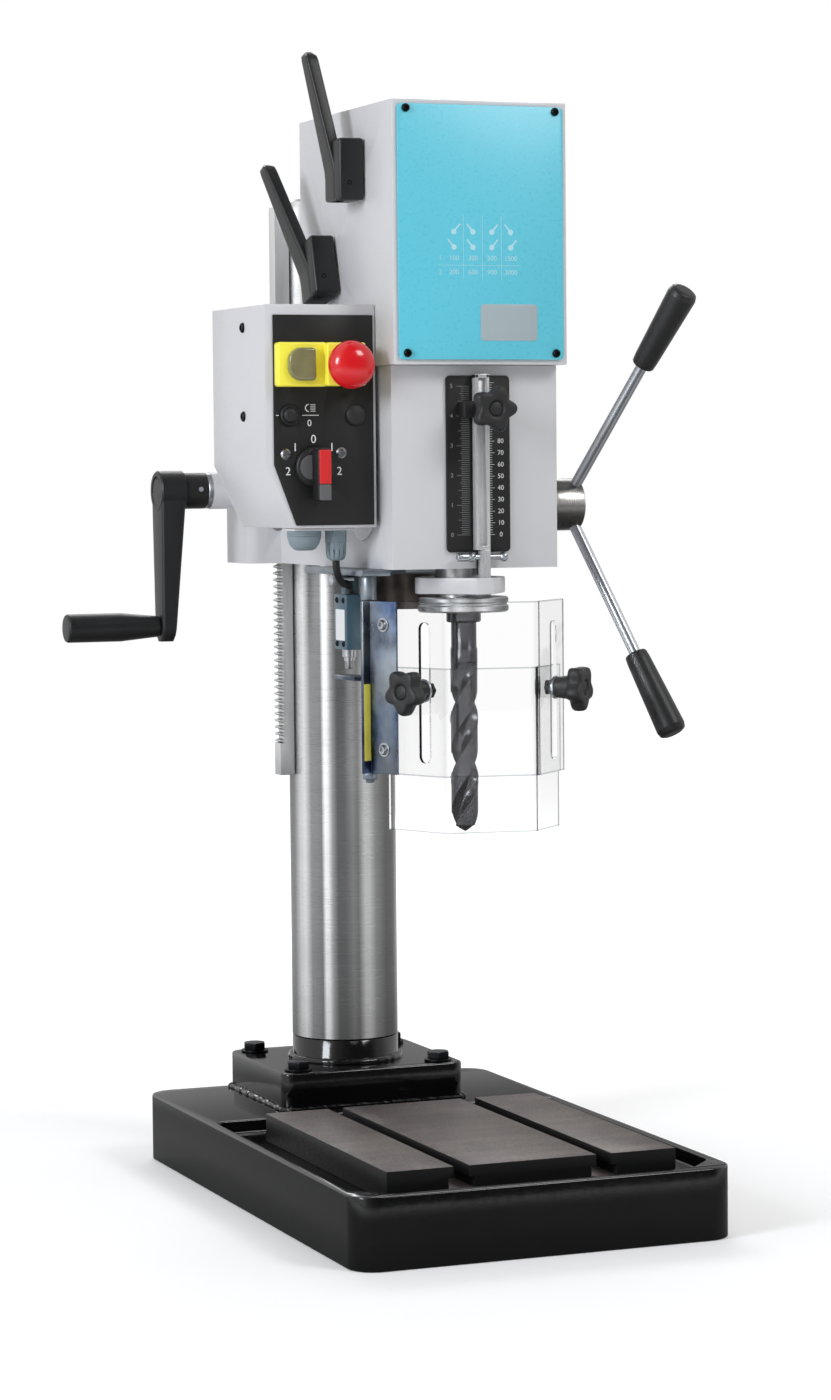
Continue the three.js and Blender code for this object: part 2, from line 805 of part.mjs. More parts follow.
function buildHead() {
  const shape = new THREE.Shape();
  shape.moveTo(-headHalfWidth, headFront);
  shape.lineTo(headHalfWidth, headFront);
  shape.lineTo(headHalfWidth, neckY);
  shape.lineTo(sleeveRadius, columnY);
  shape.absarc(0, columnY, sleeveRadius, 0, Math.PI);
  shape.lineTo(-headHalfWidth, neckY);
  const range = [headBottom, headTop - gap];
  const body = prismZ(shape, range, roundSides / 2);
  const ears = block([-earHalfWidth, earHalfWidth], [columnY + columnRadius, earBack], range);
  const lobe = prismZ(roundedBlock([lobeLeft, -columnRadius], [lobeFront, lobeBack], boxCorner),
    [headBottom, lobeTop]);
  const boss = bar("x", [0, wormY, wormZ], bossRadius, [bossLeft, -columnRadius]);
  const through = [headBottom - overrun, headTop + overrun];
  const bore = bar("z", [0, columnY, 0], columnRadius + gap, through, roundSides);
  const groove = block([rackLeft - 2 * gap, 0],
    [columnY - rackDepth / 2 - gap, columnY + rackDepth / 2 + gap], through);
  const slit = block([-earSlit / 2, earSlit / 2], [columnY, earBack + overrun], through);
  const quillHole = bar("z", [0, spindleY, 0], quillRadius + quillFit, through, roundSides);
  const cavityHalf = headHalfWidth - headCavityWall;
  const cavity = block([-cavityHalf, cavityHalf], [headCavityFront, headCavityBack],
    [headBottom + headFloor, headTop + overrun]);
  const rackRun = [columnY - pinionWidth / 2, columnY + pinionWidth / 2];
  const pinionRoom = bar("y", [liftX, 0, liftZ], pinionRadius + 2 * liftModule * addendumShare,
    [rackRun[0] - 2 * gap, lobeBack + overrun]);
  const wheelRoom = bar("y", [liftX, 0, liftZ], wheelRadius + 2 * liftModule * addendumShare,
    [wormY - wheelWidth / 2 - gap, wormY + wheelWidth / 2 + gap]);
  const liftBore = bar("y", [liftX, 0, liftZ], liftShaftRadius + gap,
    [lobeFront - overrun, lobeBack + overrun]);
  const wormHole = bar("x", [0, wormY, wormZ], wormBore, [bossLeft - overrun, wormRight + gap]);
  const wormSeat = bar("x", [0, wormY, wormZ], wormJournal + gap, [wormRight, wormEnd + overrun]);
  const feedPoint = [0, feedY, feedZ];
  const feedHole = bar("x", feedPoint, feedTip + 2 * gap, [-feedPinionWidth, headHalfWidth + overrun]);
  const feedLeft = bar("x", feedPoint, feedShaftRadius + gap, [-headHalfWidth - overrun, 0]);
  const springHole = bar("x", feedPoint, springRecess,
    [-headHalfWidth - overrun, -headHalfWidth + springWidth + 3 * gap]);
  const clampHole = bar("x", [0, clampBoltY, clampBoltZ], clampBoltRadius + gap,
    [-earHalfWidth - overrun, earHalfWidth + overrun], smallSides);
  return cut(join(body, ears, lobe, boss), bore, groove, slit, quillHole, cavity, pinionRoom, wheelRoom,
    liftBore, wormHole, wormSeat, feedHole, feedLeft, springHole, clampHole);
}

const feedTip = gearRadius(feedTeeth, feedModule) + feedModule * addendumShare;
const quillRackPitchY = feedY - gearRadius(feedTeeth, feedModule);

function buildClampBolt() {
  const seat = earHalfWidth + gap;
  const point = [0, clampBoltY, clampBoltZ];
  return join(
    hexBolt("x", point, [seat, -seat - clampBoltEnds], boltHeadAcross, clampBoltRadius, boltHeadHeight),
    bar("x", point, boltHeadAcross / 2, [-seat - boltHeadHeight, -seat], hexSides));
}

// The worm's thread climbs one tooth pitch a turn along X
function buildWorm() {
  const length = wormRight - wormLeft;
  const turns = length / (liftPitch * wormStarts);
  const middle = liftX - wormLeft;
  const lead = middle / length * turns * 2 * Math.PI;
  const thread = twisted((angle) => {
    const share = Math.abs(((angle + lead) / (2 * Math.PI) % 1 + 1.5) % 1 - 0.5);
    const slope = (rootShare - share) / (rootShare - tipShare);
    return wormRoot + (wormTip - wormRoot) * Math.min(1, Math.max(0, slope));
  }, smallSides + 2, [wormLeft, wormRight], turns, Math.round(turns * 7));
  const toX = new THREE.Matrix4().set(0, 0, 1, 0, 0, 1, 0, wormY, -1, 0, 0, wormZ, 0, 0, 0, 1);
  thread.applyMatrix4(toX);
  const point = [0, wormY, wormZ];
  const hubFace = bossLeft - gap - collarWidth - hubWidth;
  const shaft = bar("x", point, wormJournal, [hubFace + 4 * gap, bossLeft], smallSides);
  const journal = bar("x", point, wormTip, [bossLeft - gap, wormLeft + gap]);
  const tail = bar("x", point, wormJournal, [wormRight - gap, wormEnd], smallSides);
  const collar = bar("x", point, collarRadius, [bossLeft - gap - collarWidth, bossLeft - gap]);
  return join(thread, shaft, journal, tail, collar);
}

// Lift shaft with worm wheel and pinion; its axis runs front to back
function buildLiftGears() {
  const point = [liftX, 0, liftZ];
  const shaft = bar("y", point, liftShaftRadius, [lobeFront + gap, lobeBack - gap], smallSides);
  const wheelPhase = Math.PI / 2 + Math.PI / wheelTeeth;
  const wheel = gearAlongY(point, wheelTeeth, wheelPhase, [wormY - wheelWidth / 2, wormY + wheelWidth / 2]);
  const rackTeeth = (liftZ - rackTeethBottom) / liftPitch - 0.5;
  const pinionPhase = -(rackTeeth - Math.floor(rackTeeth) + 0.5) * 2 * Math.PI / pinionTeeth;
  const pinion = gearAlongY(point, pinionTeeth, pinionPhase,
    [columnY - pinionWidth / 2, columnY + pinionWidth / 2]);
  return join(shaft, wheel, pinion);
}

function gearAlongY([x, , z], teeth, phase, range) {
  return prismY(gearOutline(teeth, liftModule, phase), range).translate(x, 0, z);
}

// Crank: hub, tapering arm hanging down, and a turning grip
function buildCrank() {
  const hubRight = bossLeft - gap - collarWidth - gap;
  const hubLeft = hubRight - hubWidth;
  const outline = new THREE.Shape();
  const tipZ = wormZ - crankLength;
  outline.absarc(wormY, wormZ, hubRadius, radians(-5), radians(185));
  outline.absarc(wormY, tipZ, crankTipRadius, radians(185), radians(355));
  const armLeft = hubLeft + gap;
  const arm = prismX(outline, [armLeft, armLeft + crankArmThickness], smallSides);
  const hub = bar("x", [0, wormY, wormZ], hubRadius, [hubLeft, hubRight]);
  const bore = bar("x", [0, wormY, wormZ], wormJournal + gap, [hubLeft + 3 * gap, hubRight + overrun]);
  const axle = bar("x", [0, wormY, tipZ], gripAxleRadius,
    [armLeft - gripLength + gripAxleRadius, armLeft + gap], smallSides);
  return join(cut(join(arm, hub), bore), axle);
}

function buildCrankGrip() {
  const right = bossLeft - 2 * gap - collarWidth - hubWidth;
  const left = right - gripLength;
  const bore = gripAxleRadius + gap;
  const round = gripRadius / 4;
  return turned("x", [0, wormY, wormZ - crankLength], [
    [0, left], [gripRadius - round, left], [gripRadius, left + round],
    [gripRadius, left + gripLength * 0.6], [gripNeck, right - round], [gripNeck, right],
    [bore, right], [bore, left + gripAxleRadius], [0, left + gripAxleRadius],
  ]);
}

// Gearbox housing: a cast shell, open at the front behind its panel
const innerFloor = headTop + boxFloor;

function buildGearbox() {
  const shape = new THREE.Shape();
  shape.moveTo(-boxHalfWidth, boxFront);
  shape.lineTo(boxHalfWidth, boxFront);
  shape.absarc(boxHalfWidth - boxCorner, boxBack - boxCorner, boxCorner, 0, Math.PI / 2);
  shape.absarc(-boxHalfWidth + boxCorner, boxBack - boxCorner, boxCorner, Math.PI / 2, Math.PI);
  const body = prismZ(shape, [headTop, boxTop]);
  const inner = boxHalfWidth - boxWall;
  const room = block([-inner, inner], [boxFront - overrun, boxBack - boxWall],
    [innerFloor, boxTop - boxWall]);
  const quillHole = bar("z", [0, spindleY, 0], quillRadius + overrun,
    [headTop - overrun, innerFloor + overrun]);
  const leverHoles = selectors.map(({ y, z }) => bar("x", [0, y, z], selectorShaftRadius + gap,
    [-boxHalfWidth - overrun, -inner + overrun], smallSides));
  const shelf = block([-inner - gap, inner + gap], [motorY - motorRadius / 2, boxBack - boxWall + gap],
    [motorBottom - gap - bearingPlateThickness, motorBottom - gap]);
  const shaftHole = shaftAlongZ(motorAt, motorShaftRadius + overrun, [innerFloor + overrun, motorBottom]);
  const seats = [[layAt, shaftRadius], [idlerAt, shaftRadius], [motorAt, motorShaftRadius]];
  const bosses = seats.map(([at]) =>
    shaftAlongZ(at, bearingRadius, [innerFloor - gap, innerFloor + bearingPlateThickness]));
  const bores = seats.map(([at, radius]) =>
    shaftAlongZ(at, radius + gap, [innerFloor, innerFloor + bearingPlateThickness + overrun]));
  const rods = selectors.map((selector) => {
    const [x, y] = rodPlace(selector);
    return bar("z", [x, y, 0], forkRodRadius, [innerFloor - gap, boxTop - boxWall + gap], smallSides);
  });
  const shell = cut(body, room, quillHole, ...leverHoles);
  return cut(join(shell, shelf, ...bosses, ...rods), shaftHole, ...bores);
}

const panelBack = boxFront - gap;
const panelFront = panelBack - frontPanelThickness;
const panelX = boxHalfWidth - frontPanelInset;
const panelBottom = headTop + frontPanelInset;
const panelTop = boxTop - frontPanelInset;

function buildFrontPanel() {
  return prismY(roundedBlock([-panelX, panelX], [panelBottom, panelTop], frontPanelInset),
    [panelFront, panelBack]);
}

// Gear train: motor pinion, idler, layshaft and spindle sleeve
const centreDistance = gearRadius(lowGearTeeth + layPinionTeeth, gearModule);
const spindleAt = [0, spindleY];
const motorAt = [0, motorY];
const layAt = [layX, spindleY + Math.sqrt(centreDistance ** 2 - layX ** 2)];
const idlerAt = meetingPoint(motorAt, gearRadius(motorPinionTeeth + idlerTeeth, gearModule),
  layAt, gearRadius(idlerTeeth + layInputTeeth, gearModule));
const lowGear = { at: spindleAt, teeth: lowGearTeeth, phase: 0 };
const highGear = { at: spindleAt, teeth: highGearTeeth, phase: 0 };
const layPinion = { at: layAt, teeth: layPinionTeeth };
layPinion.phase = meshPhase(lowGear, layPinion);
const layGear = { at: layAt, teeth: highGearTeeth };
layGear.phase = meshPhase(highGear, layGear);
const layInput = { at: layAt, teeth: layInputTeeth, phase: 0 };
const idler = { at: idlerAt, teeth: idlerTeeth };
idler.phase = meshPhase(layInput, idler);
const motorPinion = { at: motorAt, teeth: motorPinionTeeth };
motorPinion.phase = meshPhase(idler, motorPinion);

function trainGear(wheel, low, face = gearFace) {
  return gear(wheel.at, wheel.teeth, gearModule, wheel.phase, [low, low + face]);
}

function shaftAlongZ([x, y], radius, range) {
  return bar("z", [x, y, 0], radius, range, smallSides);
}

function buildSpindleSleeve() {
  const body = join(shaftAlongZ(spindleAt, sleeveHub, [sleeveBottom, sleeveTop + bearingPlateThickness]),
    trainGear(highGear, highGearZ), trainGear(lowGear, lowGearZ));
  return cut(body, shaftAlongZ(spindleAt, splineRadius + gap, [sleeveBottom - overrun, spindleTop]));
}

function buildLayshaft() {
  return join(shaftAlongZ(layAt, shaftRadius, [innerFloor + gap, bearingPlateZ + bearingPlateThickness]),
    trainGear(layInput, inputGearZ));
}

function buildSlidingGears() {
  const grooveTop = shiftGrooveZ + shiftGroove;
  const hub = shaftAlongZ(layAt, sleeveHub, [layHighZ, grooveTop + shiftGroove]);
  const body = join(hub, trainGear(layGear, layHighZ), trainGear(layPinion, layLowZ),
    shaftAlongZ(layAt, shiftCollarRadius, [shiftGrooveZ - shiftGroove, shiftGrooveZ]),
    shaftAlongZ(layAt, shiftCollarRadius, [grooveTop, grooveTop + shiftGroove]));
  return cut(body, shaftAlongZ(layAt, shaftRadius + gap, [layHighZ - overrun, grooveTop + 2 * shiftGroove]));
}

function buildIdler() {
  return join(shaftAlongZ(idlerAt, shaftRadius, [innerFloor + gap, inputGearZ + 2 * gearFace]),
    trainGear(idler, inputGearZ));
}

function buildMotorRotor() {
  const core = motorRadius - motorShell - rotorGap;
  return join(shaftAlongZ(motorAt, motorShaftRadius, [innerFloor + gap, motorTop - motorEnd - gap]),
    trainGear(motorPinion, inputGearZ),
    bar("z", [...motorAt, 0], core, [motorBottom + fanClear, motorTop - fanClear]));
}

function buildMotorStator() {
  const inner = motorRadius - motorShell;
  const point = [...motorAt, 0];
  const shell = tube("z", point, motorRadius, inner, [motorBottom, motorTop], roundSides);
  const holed = motorShaftRadius + gap;
  const bottom = tube("z", point, inner + gap, holed, [motorBottom, motorBottom + motorEnd]);
  const top = bar("z", point, inner + gap, [motorTop - motorEnd, motorTop]);
  return join(shell, bottom, top);
}

function buildBearingPlate() {
  const range = [bearingPlateZ, bearingPlateZ + bearingPlateThickness];
  const cutRange = [range[0] - overrun, range[1] + overrun];
  const plate = block([bearingPlateLeft, boxHalfWidth - boxWall - gap],
    [boxFront + boxWall, bearingPlateBack], range);
  return cut(plate, shaftAlongZ(layAt, shaftRadius + gap, cutRange),
    bar("z", [...spindleAt, 0], sleeveHub + gap, cutRange));
}

// Selector levers, their shafts and the forks that they lift
const selectors = [
  { y: upperLeverY, z: upperLeverZ, turn: 0, armRise: 0, leanOut: upperLean },
  { y: lowerLeverY, z: lowerLeverZ, turn: lowerLeverTurn, armRise: lowerArmRise, leanOut: lowerLean },
];

function buildLever({ y, z, turn, armRise, leanOut }) {
  const outer = leverInner - leverFootThickness;
  const foot = prismX([
    [leverFootFront, leverFootBottom], [leverFootBack, leverFootBottom],
    [leverFootBack, leverFootTop], [leverFootFront, leverFootTop],
  ], [outer, leverInner]);
  const blade = prismX([
    [leverFootBack - leverBladeWidth, leverFootBottom + leverBladeWidth],
    [leverFootBack - gap, leverFootBottom + leverBladeWidth],
    [leverTipY + leverTipWidth / 2, leverTipHeight], [leverTipY - leverTipWidth / 2, leverTipHeight],
  ], [outer + gap, outer + gap + leverBladeThickness]);
  const lean = new THREE.Matrix4().makeShear(0, 0, 0, 0, -leanOut / leverTipHeight, 0);
  const handle = join(foot, blade.applyMatrix4(lean));
  const inside = forkX - forkBlockWidth / 2 - gap;
  const shaft = bar("x", [0, 0, 0], selectorShaftRadius, [leverInner - gap, inside], smallSides);
  const arm = block([inside - selectorArmThickness, inside],
    [-selectorThrow, 0], [-selectorArmWidth / 2, selectorArmWidth / 2]);
  const pin = bar("x", [0, -selectorThrow, 0], selectorPinRadius,
    [inside - gap, inside + forkBlockWidth / 2], smallSides);
  const inner = join(arm, pin).rotateX(radians(armRise - turn));
  return join(handle, shaft, inner).rotateX(radians(turn)).translate(0, y, z);
}

function forkPlace({ y, z, armRise }) {
  const swing = radians(armRise);
  return { x: forkX, y: y - selectorThrow * Math.cos(swing), z: z - selectorThrow * Math.sin(swing) };
}

// A fork block on its guide rod, with an arm to the groove of what it slides
function buildFork(selector, target, grooveRadius, armZ) {
  const place = forkPlace(selector);
  const half = forkBlockWidth / 2;
  const rise = selectorPinRadius + 2 * gap;
  const low = Math.min(place.z - 2 * rise, armZ);
  const high = Math.max(place.z + 2 * rise, armZ + forkArmThickness);
  const post = block([place.x - half, place.x + half], [place.y - half, place.y + half], [low, high]);
  const dx = target[0] - place.x;
  const dy = target[1] - place.y;
  const reach = Math.hypot(dx, dy);
  const heading = Math.atan2(dy, dx);
  const arm = block([0, reach], [-forkArmWidth / 2, forkArmWidth / 2], [armZ, armZ + forkArmThickness]);
  arm.rotateZ(heading).translate(place.x, place.y, 0);
  const horseshoe = bar("z", [...target, 0], grooveRadius + forkArmWidth / 2,
    [armZ, armZ + forkArmThickness]);
  const throat = bar("z", [...target, 0], grooveRadius + gap, [armZ - overrun, armZ + 2 * overrun]);
  const mouth = block([0, 3 * grooveRadius], [-grooveRadius - gap, grooveRadius + gap],
    [armZ - overrun, armZ + 2 * overrun]);
  mouth.rotateZ(heading).translate(target[0], target[1], 0);
  const slot = block([place.x - half - overrun, place.x + gap],
    [place.y - selectorPinRadius - overrun, place.y + half + overrun], [place.z - rise, place.z + rise]);
  const rodHole = bar("z", [...rodPlace(selector), 0], forkRodRadius + gap,
    [low - overrun, high + overrun], smallSides);
  return cut(join(post, arm, horseshoe), throat, mouth, slot, rodHole);
}

function rodPlace(selector) {
  const place = forkPlace(selector);
  return [place.x + forkBlockWidth / 4, place.y - forkBlockWidth / 4];
}

function buildClutchCollar() {
  const point = [...spindleAt, 0];
  const grooveLow = collarZ + (clutchHeight - shiftGroove) / 2;
  const grooveRadius = clutchRadius - shiftGroove;
  const inner = sleeveHub + gap;
  return turned("z", point, [
    [inner, collarZ], [clutchRadius, collarZ], [clutchRadius, grooveLow], [grooveRadius, grooveLow],
    [grooveRadius, grooveLow + shiftGroove], [clutchRadius, grooveLow + shiftGroove],
    [clutchRadius, collarZ + clutchHeight], [inner, collarZ + clutchHeight], [inner, collarZ],
  ]);
}

// Quill, spindle, bearings, nut and drill
function buildQuill() {
  const point = [0, spindleY, 0];
  const recessTop = nutTop + bearingWidth + 3 * gap;
  const body = turned("z", point, [
    [quillBore, nutTop - overrun], [quillRadius, nutTop - overrun], [quillRadius, quillTop],
    [spindleRadius + gap, quillTop], [spindleRadius + gap, recessTop], [quillBore, recessTop],
    [quillBore, nutTop - overrun],
  ], roundSides);
  const root = quillRackPitchY - feedModule * dedendumShare;
  const flat = block([-quillRackWidth / 2 - gap, quillRackWidth / 2 + gap],
    [root, spindleY + quillRadius + overrun], [quillRackBottom - gap, quillTop + overrun]);
  return join(cut(body, flat), buildQuillRack(root), buildQuillFlange());
}

function buildQuillRack(root) {
  const pitch = Math.PI * feedModule;
  const tip = quillRackPitchY + feedModule * addendumShare;
  const seat = root - quillRackDepth;
  const outline = [[seat, quillRackBottom]];
  const count = Math.floor((quillTop - quillRackBottom) / pitch);
  for (let tooth = 0; tooth < count; tooth += 1) {
    const middle = quillRackBottom + (tooth + 0.5) * pitch;
    if (tooth === 0) outline.push([root, quillRackBottom]);
    outline.push([root, middle - rootShare * pitch], [tip, middle - tipShare * pitch]);
    outline.push([tip, middle + tipShare * pitch], [root, middle + rootShare * pitch]);
  }
  outline.push([root, quillTop - gap], [seat, quillTop - gap]);
  return prismX(outline, [-quillRackWidth / 2, quillRackWidth / 2]);
}

function buildYoke() {
  const flankAngle = radians(5);
  const shape = new THREE.Shape();
  shape.moveTo(-yokeNoseHalfWidth + scaleCentre, yokeNoseFront);
  shape.lineTo(yokeNoseHalfWidth + scaleCentre, yokeNoseFront);
  shape.absarc(yokeShift, spindleY, yokeRadius, -flankAngle, Math.PI + flankAngle);
  const body = prismZ(shape, [yokeBottom, yokeTop], mediumSides);
  const through = [yokeBottom - overrun, yokeTop + overrun];
  const bore = bar("z", [0, spindleY, 0], quillRadius + gap, through, roundSides);
  const barSlot = block([barNeckLeft - gap, scaleCentre + barWidth / 2 + gap],
    [barFront - gap, barFront + barThickness + gap], through);
  return cut(body, bore, barSlot);
}

const scaleFront = headFront - gap - scaleThickness;
const barFront = scaleFront - barGap - barThickness;

function buildDepthBar() {
  const right = scaleCentre + barWidth / 2;
  const y = [barFront, barFront + barThickness];
  const body = join(block([scaleCentre - barWidth / 2, right], y, [barNeckTop, barTop]),
    block([barNeckLeft, right], y, [yokeBottom, barNeckTop + gap]));
  const inner = barGroove / 2;
  const groove = block([scaleCentre - inner, scaleCentre + inner],
    [barFront - overrun, barFront + barThickness / 2], [yokeTop + 3 * barWidth, barTop + overrun]);
  return cut(body, groove);
}

function buildQuillFlange() {
  const middle = (nutBottom + nutTop) / 2;
  const rim = nutRadius - nutGroove;
  return turned("z", [0, spindleY, 0], [
    [noseRadius + gap, nutBottom], [rim, nutBottom], [nutRadius, nutBottom + nutGroove],
    [nutRadius, middle - nutGroove], [rim, middle], [nutRadius, middle + nutGroove],
    [nutRadius, nutTop], [noseRadius + gap, nutTop], [noseRadius + gap, nutBottom],
  ], roundSides);
}

function buildSpindle() {
  return turned("z", [0, spindleY, 0], [
    [0, noseBottom], [noseRadius, noseBottom], [noseRadius, nutTop - gap],
    [spindleRadius, nutTop - gap], [spindleRadius, splineStart], [splineRadius, splineStart],
    [splineRadius, spindleTop], [0, spindleTop],
  ]);
}

function buildSpindleBearing() {
  const low = nutTop + 2 * gap;
  return tube("z", [0, spindleY, 0], quillBore - gap, spindleRadius + gap, [low, low + bearingWidth]);
}

function buildDrill() {
  const point = [0, spindleY, 0];
  const fluteTurns = 1.15;
  const flutes = twisted((angle, share) => {
    const dip = Math.max(0, Math.cos(2 * angle)) ** 2;
    const nearTip = Math.min(1, share * (drillShankBottom - drillTip) / drillPoint);
    const full = drillRadius * (0.2 + 0.8 * nearTip);
    return full * (1 - 0.5 * dip);
  }, smallSides + 4, [drillTip, drillShankBottom], fluteTurns, 24);
  flutes.translate(point[0], point[1], 0);
  const shank = turned("z", point, [
    [0, drillShankBottom - gap], [drillRadius, drillShankBottom - gap],
    [drillRadius, drillShankBottom + drillRadius], [drillNeckRadius, drillShankBottom + drillRadius],
    [drillNeckRadius, drillShankTop], [0, drillShankTop],
  ]);
  return join(flutes, shank);
}

// Depth stop on the bar, its knob, and the clamp toggle below
function buildScaleFace() {
  const half = scaleWidth / 2;
  return prismY(roundedBlock([scaleCentre - half, scaleCentre + half], [scaleBottom, scaleTop],
    barThickness / 2), [scaleFront, headFront - gap]);
}

function buildStopBlock() {
  const front = barFront - stopBlockWall - gap;
  const body = block([stopBlockLeft, scaleCentre + barWidth / 2 + stopBlockWall],
    [front, scaleFront - gap], [stopBlockBottom, stopBlockBottom + stopBlockHeight]);
  const slot = block([scaleCentre - barWidth / 2 - gap, scaleCentre + barWidth / 2 + gap],
    [barFront - gap, barFront + barThickness + gap],
    [stopBlockBottom - overrun, stopBlockBottom + stopBlockHeight + overrun]);
  return cut(body, slot);
}

function buildDepthKnob() {
  const front = barFront - stopBlockWall - 2 * gap;
  const z = stopBlockBottom + stopBlockHeight / 2;
  return starKnob().rotateX(Math.PI / 2).translate(scaleCentre, front, z);
}

function buildToggle() {
  const y = barFront + barThickness / 2;
  const rod = bar("x", [0, y, toggleZ], toggleRadius, [toggleLeft, toggleRight], smallSides);
  const sleeve = bar("x", [0, y, toggleZ], toggleRadius * 1.5, [toggleLeft, toggleNeck - toggleBall], smallSides);
  const balls = [toggleNeck, toggleRight].map((x) =>
    new THREE.SphereGeometry(toggleBall, smallSides, smallSides / 2).translate(x, y, toggleZ));
  return join(rod, sleeve, ...balls);
}

// A ledge behind the bar, at the scale plate's foot, is where the depth stop lands
function buildScalePlate() {
  const top = headBottom - gap;
  const width = [barNeckLeft, scaleCentre + barWidth / 2];
  const low = top - ledgeHeight;
  const web = block(width, [scaleFront, headFront - gap], [low, scaleBottom + barThickness]);
  const ledge = block(width, [barFront + barThickness + gap, scaleFront + gap], [low, top]);
  return join(web, ledge, buildScaleFace());
}

// Feed: pinion shaft, bush, capstan hub with three spokes and grips, return spring
function buildFeedShaft() {
  const point = [0, feedY, feedZ];
  const shaft = bar("x", point, feedShaftRadius, [-headHalfWidth + gap, capstanStart + overrun]);
  const toX = new THREE.Matrix4().set(0, 0, 1, 0, 1, 0, 0, feedY, 0, 1, 0, feedZ, 0, 0, 0, 1);
  const pitch = Math.PI * feedModule;
  const teeth = (feedZ - quillRackBottom) / pitch - 0.5;
  const phase = Math.PI + (teeth - Math.floor(teeth) + 0.5) * 2 * Math.PI / feedTeeth;
  const pinion = extrude(gearOutline(feedTeeth, feedModule, phase), feedPinionWidth)
    .translate(0, 0, -feedPinionWidth / 2).applyMatrix4(toX);
  return join(shaft, pinion);
}

function buildFeedBush() {
  const face = headHalfWidth + gap;
  const bore = feedShaftRadius + gap;
  const outer = feedTip + gap;
  return turned("x", [0, feedY, feedZ], [
    [bore, bushStart], [outer, bushStart], [outer, face], [bushFlange, face],
    [bushFlange, face + bushFlangeWidth], [bore, face + bushFlangeWidth], [bore, bushStart],
  ]);
}

function spokeFrame(spoke) {
  const angle = radians(180 - 60 + spokePhase + spoke * 360 / spokeCount);
  const lean = radians(spokeLean);
  const direction = new THREE.Vector3(Math.sin(lean), Math.cos(angle) * Math.cos(lean),
    Math.sin(angle) * Math.cos(lean));
  const turn = new THREE.Quaternion().setFromUnitVectors(new THREE.Vector3(0, 1, 0), direction);
  return new THREE.Matrix4().compose(new THREE.Vector3(spokeX, feedY, feedZ), turn,
    new THREE.Vector3(1, 1, 1));
}

function buildCapstanHub() {
  const point = [0, feedY, feedZ];
  const round = capstanRadius / 8;
  const hub = turned("x", point, [
    [0, capstanStart], [capstanRadius - round, capstanStart], [capstanRadius, capstanStart + round],
    [capstanRadius, capstanEnd - round], [capstanRadius - round, capstanEnd], [0, capstanEnd],
  ], roundSides);
  const neck = bar("x", point, capstanNeck, [headHalfWidth + bushFlangeWidth + 2 * gap, capstanStart + gap]);
  const bore = bar("x", point, feedShaftRadius + gap, [headHalfWidth, capstanStart + overrun + gap]);
  const sockets = ring(spokeCount).map((spoke) =>
    bar("y", [0, 0, 0], spokeRadius + gap, [spokeSeat - gap, 2 * capstanRadius], smallSides)
      .applyMatrix4(spokeFrame(spoke)));
  return cut(join(hub, neck), bore, ...sockets);
}

function buildCapstanHandle(spoke) {
  const start = spokeLength - spokeGripLength;
  const round = spokeGripWide / 4;
  const rod = bar("y", [0, 0, 0], spokeRadius, [spokeSeat, start + gap], smallSides);
  const grip = turned("y", [0, 0, 0], [
    [0, start], [spokeGripNarrow, start], [spokeGripWide, spokeLength - round],
    [spokeGripWide - round, spokeLength], [0, spokeLength],
  ]);
  return join(rod, grip).applyMatrix4(spokeFrame(spoke));
}

// Closed drum with the feed's return spring, let into the head's left side
function buildSpringCase() {
  const face = -headHalfWidth - gap;
  return turned("x", [0, feedY, feedZ], [
    [0, face - springCapThickness], [springCapRadius, face - springCapThickness],
    [springCapRadius, face], [springRecess - gap, face], [springRecess - gap, face + springWidth],
    [feedShaftRadius + gap, face + springWidth], [feedShaftRadius + gap, face], [0, face],
  ]);
}

// Control box: folded sheet, open towards the head
function controlOutline(inset) {
  const left = controlLeft + inset;
  const low = controlBottom + inset;
  return [
    [left, controlTop - inset], [left, controlBottom + controlChamferZ],
    [controlLeft + controlChamferX + inset / 2, low], [controlRight + (inset ? overrun : 0), low],
    [controlRight + (inset ? overrun : 0), controlTop - inset],
  ];
}

const faceBack = controlFront - gap;
const faceFront = faceBack - facePanelThickness;

function buildControlBox() {
  const shell = prismY(controlOutline(0), [controlFront, controlBack]);
  const room = prismY(controlOutline(controlWall), [controlFront + controlWall, controlBack - controlWall]);
  const through = [controlFront - overrun, controlFront + controlWall + overrun];
  const holes = faceHoles().map(([x, z, radius]) => bar("y", [x, 0, z], radius + 2 * gap, through));
  const spacers = [boxSpacer(spacerLow, -headHalfWidth), boxSpacer(spacerHigh, -boxHalfWidth)];
  return join(cut(shell, room, ...holes), ...spacers);
}

// Spacer that stands the control box off the side of the head or gearbox
function boxSpacer(z, side) {
  return bar("x", [0, spacerY, z], spacerRadius, [controlLeft + controlWall - gap, side - gap], smallSides);
}

function faceHoles() {
  return [
    [estopX, estopZ, estopStem], [lightButtonX, buttonRowZ, buttonStem], [rotaryX, rotaryZ, rotaryStem],
  ];
}

function buildFacePanel() {
  const left = controlLeft + facePanelMargin;
  const low = controlBottom + controlWall;
  const outline = [
    [left, controlTop - facePanelMargin - controlWall], [left, controlBottom + controlChamferZ],
    [controlLeft + controlChamferX, low], [facePanelRight, low],
    [facePanelRight, controlTop - facePanelMargin - controlWall],
  ];
  const panel = prismY(outline, [faceFront, faceBack]);
  const holes = faceHoles().map(([x, z, radius]) => bar("y", [x, 0, z], radius + 2 * gap,
    [faceFront - overrun, faceBack + overrun]));
  return cut(panel, ...holes);
}

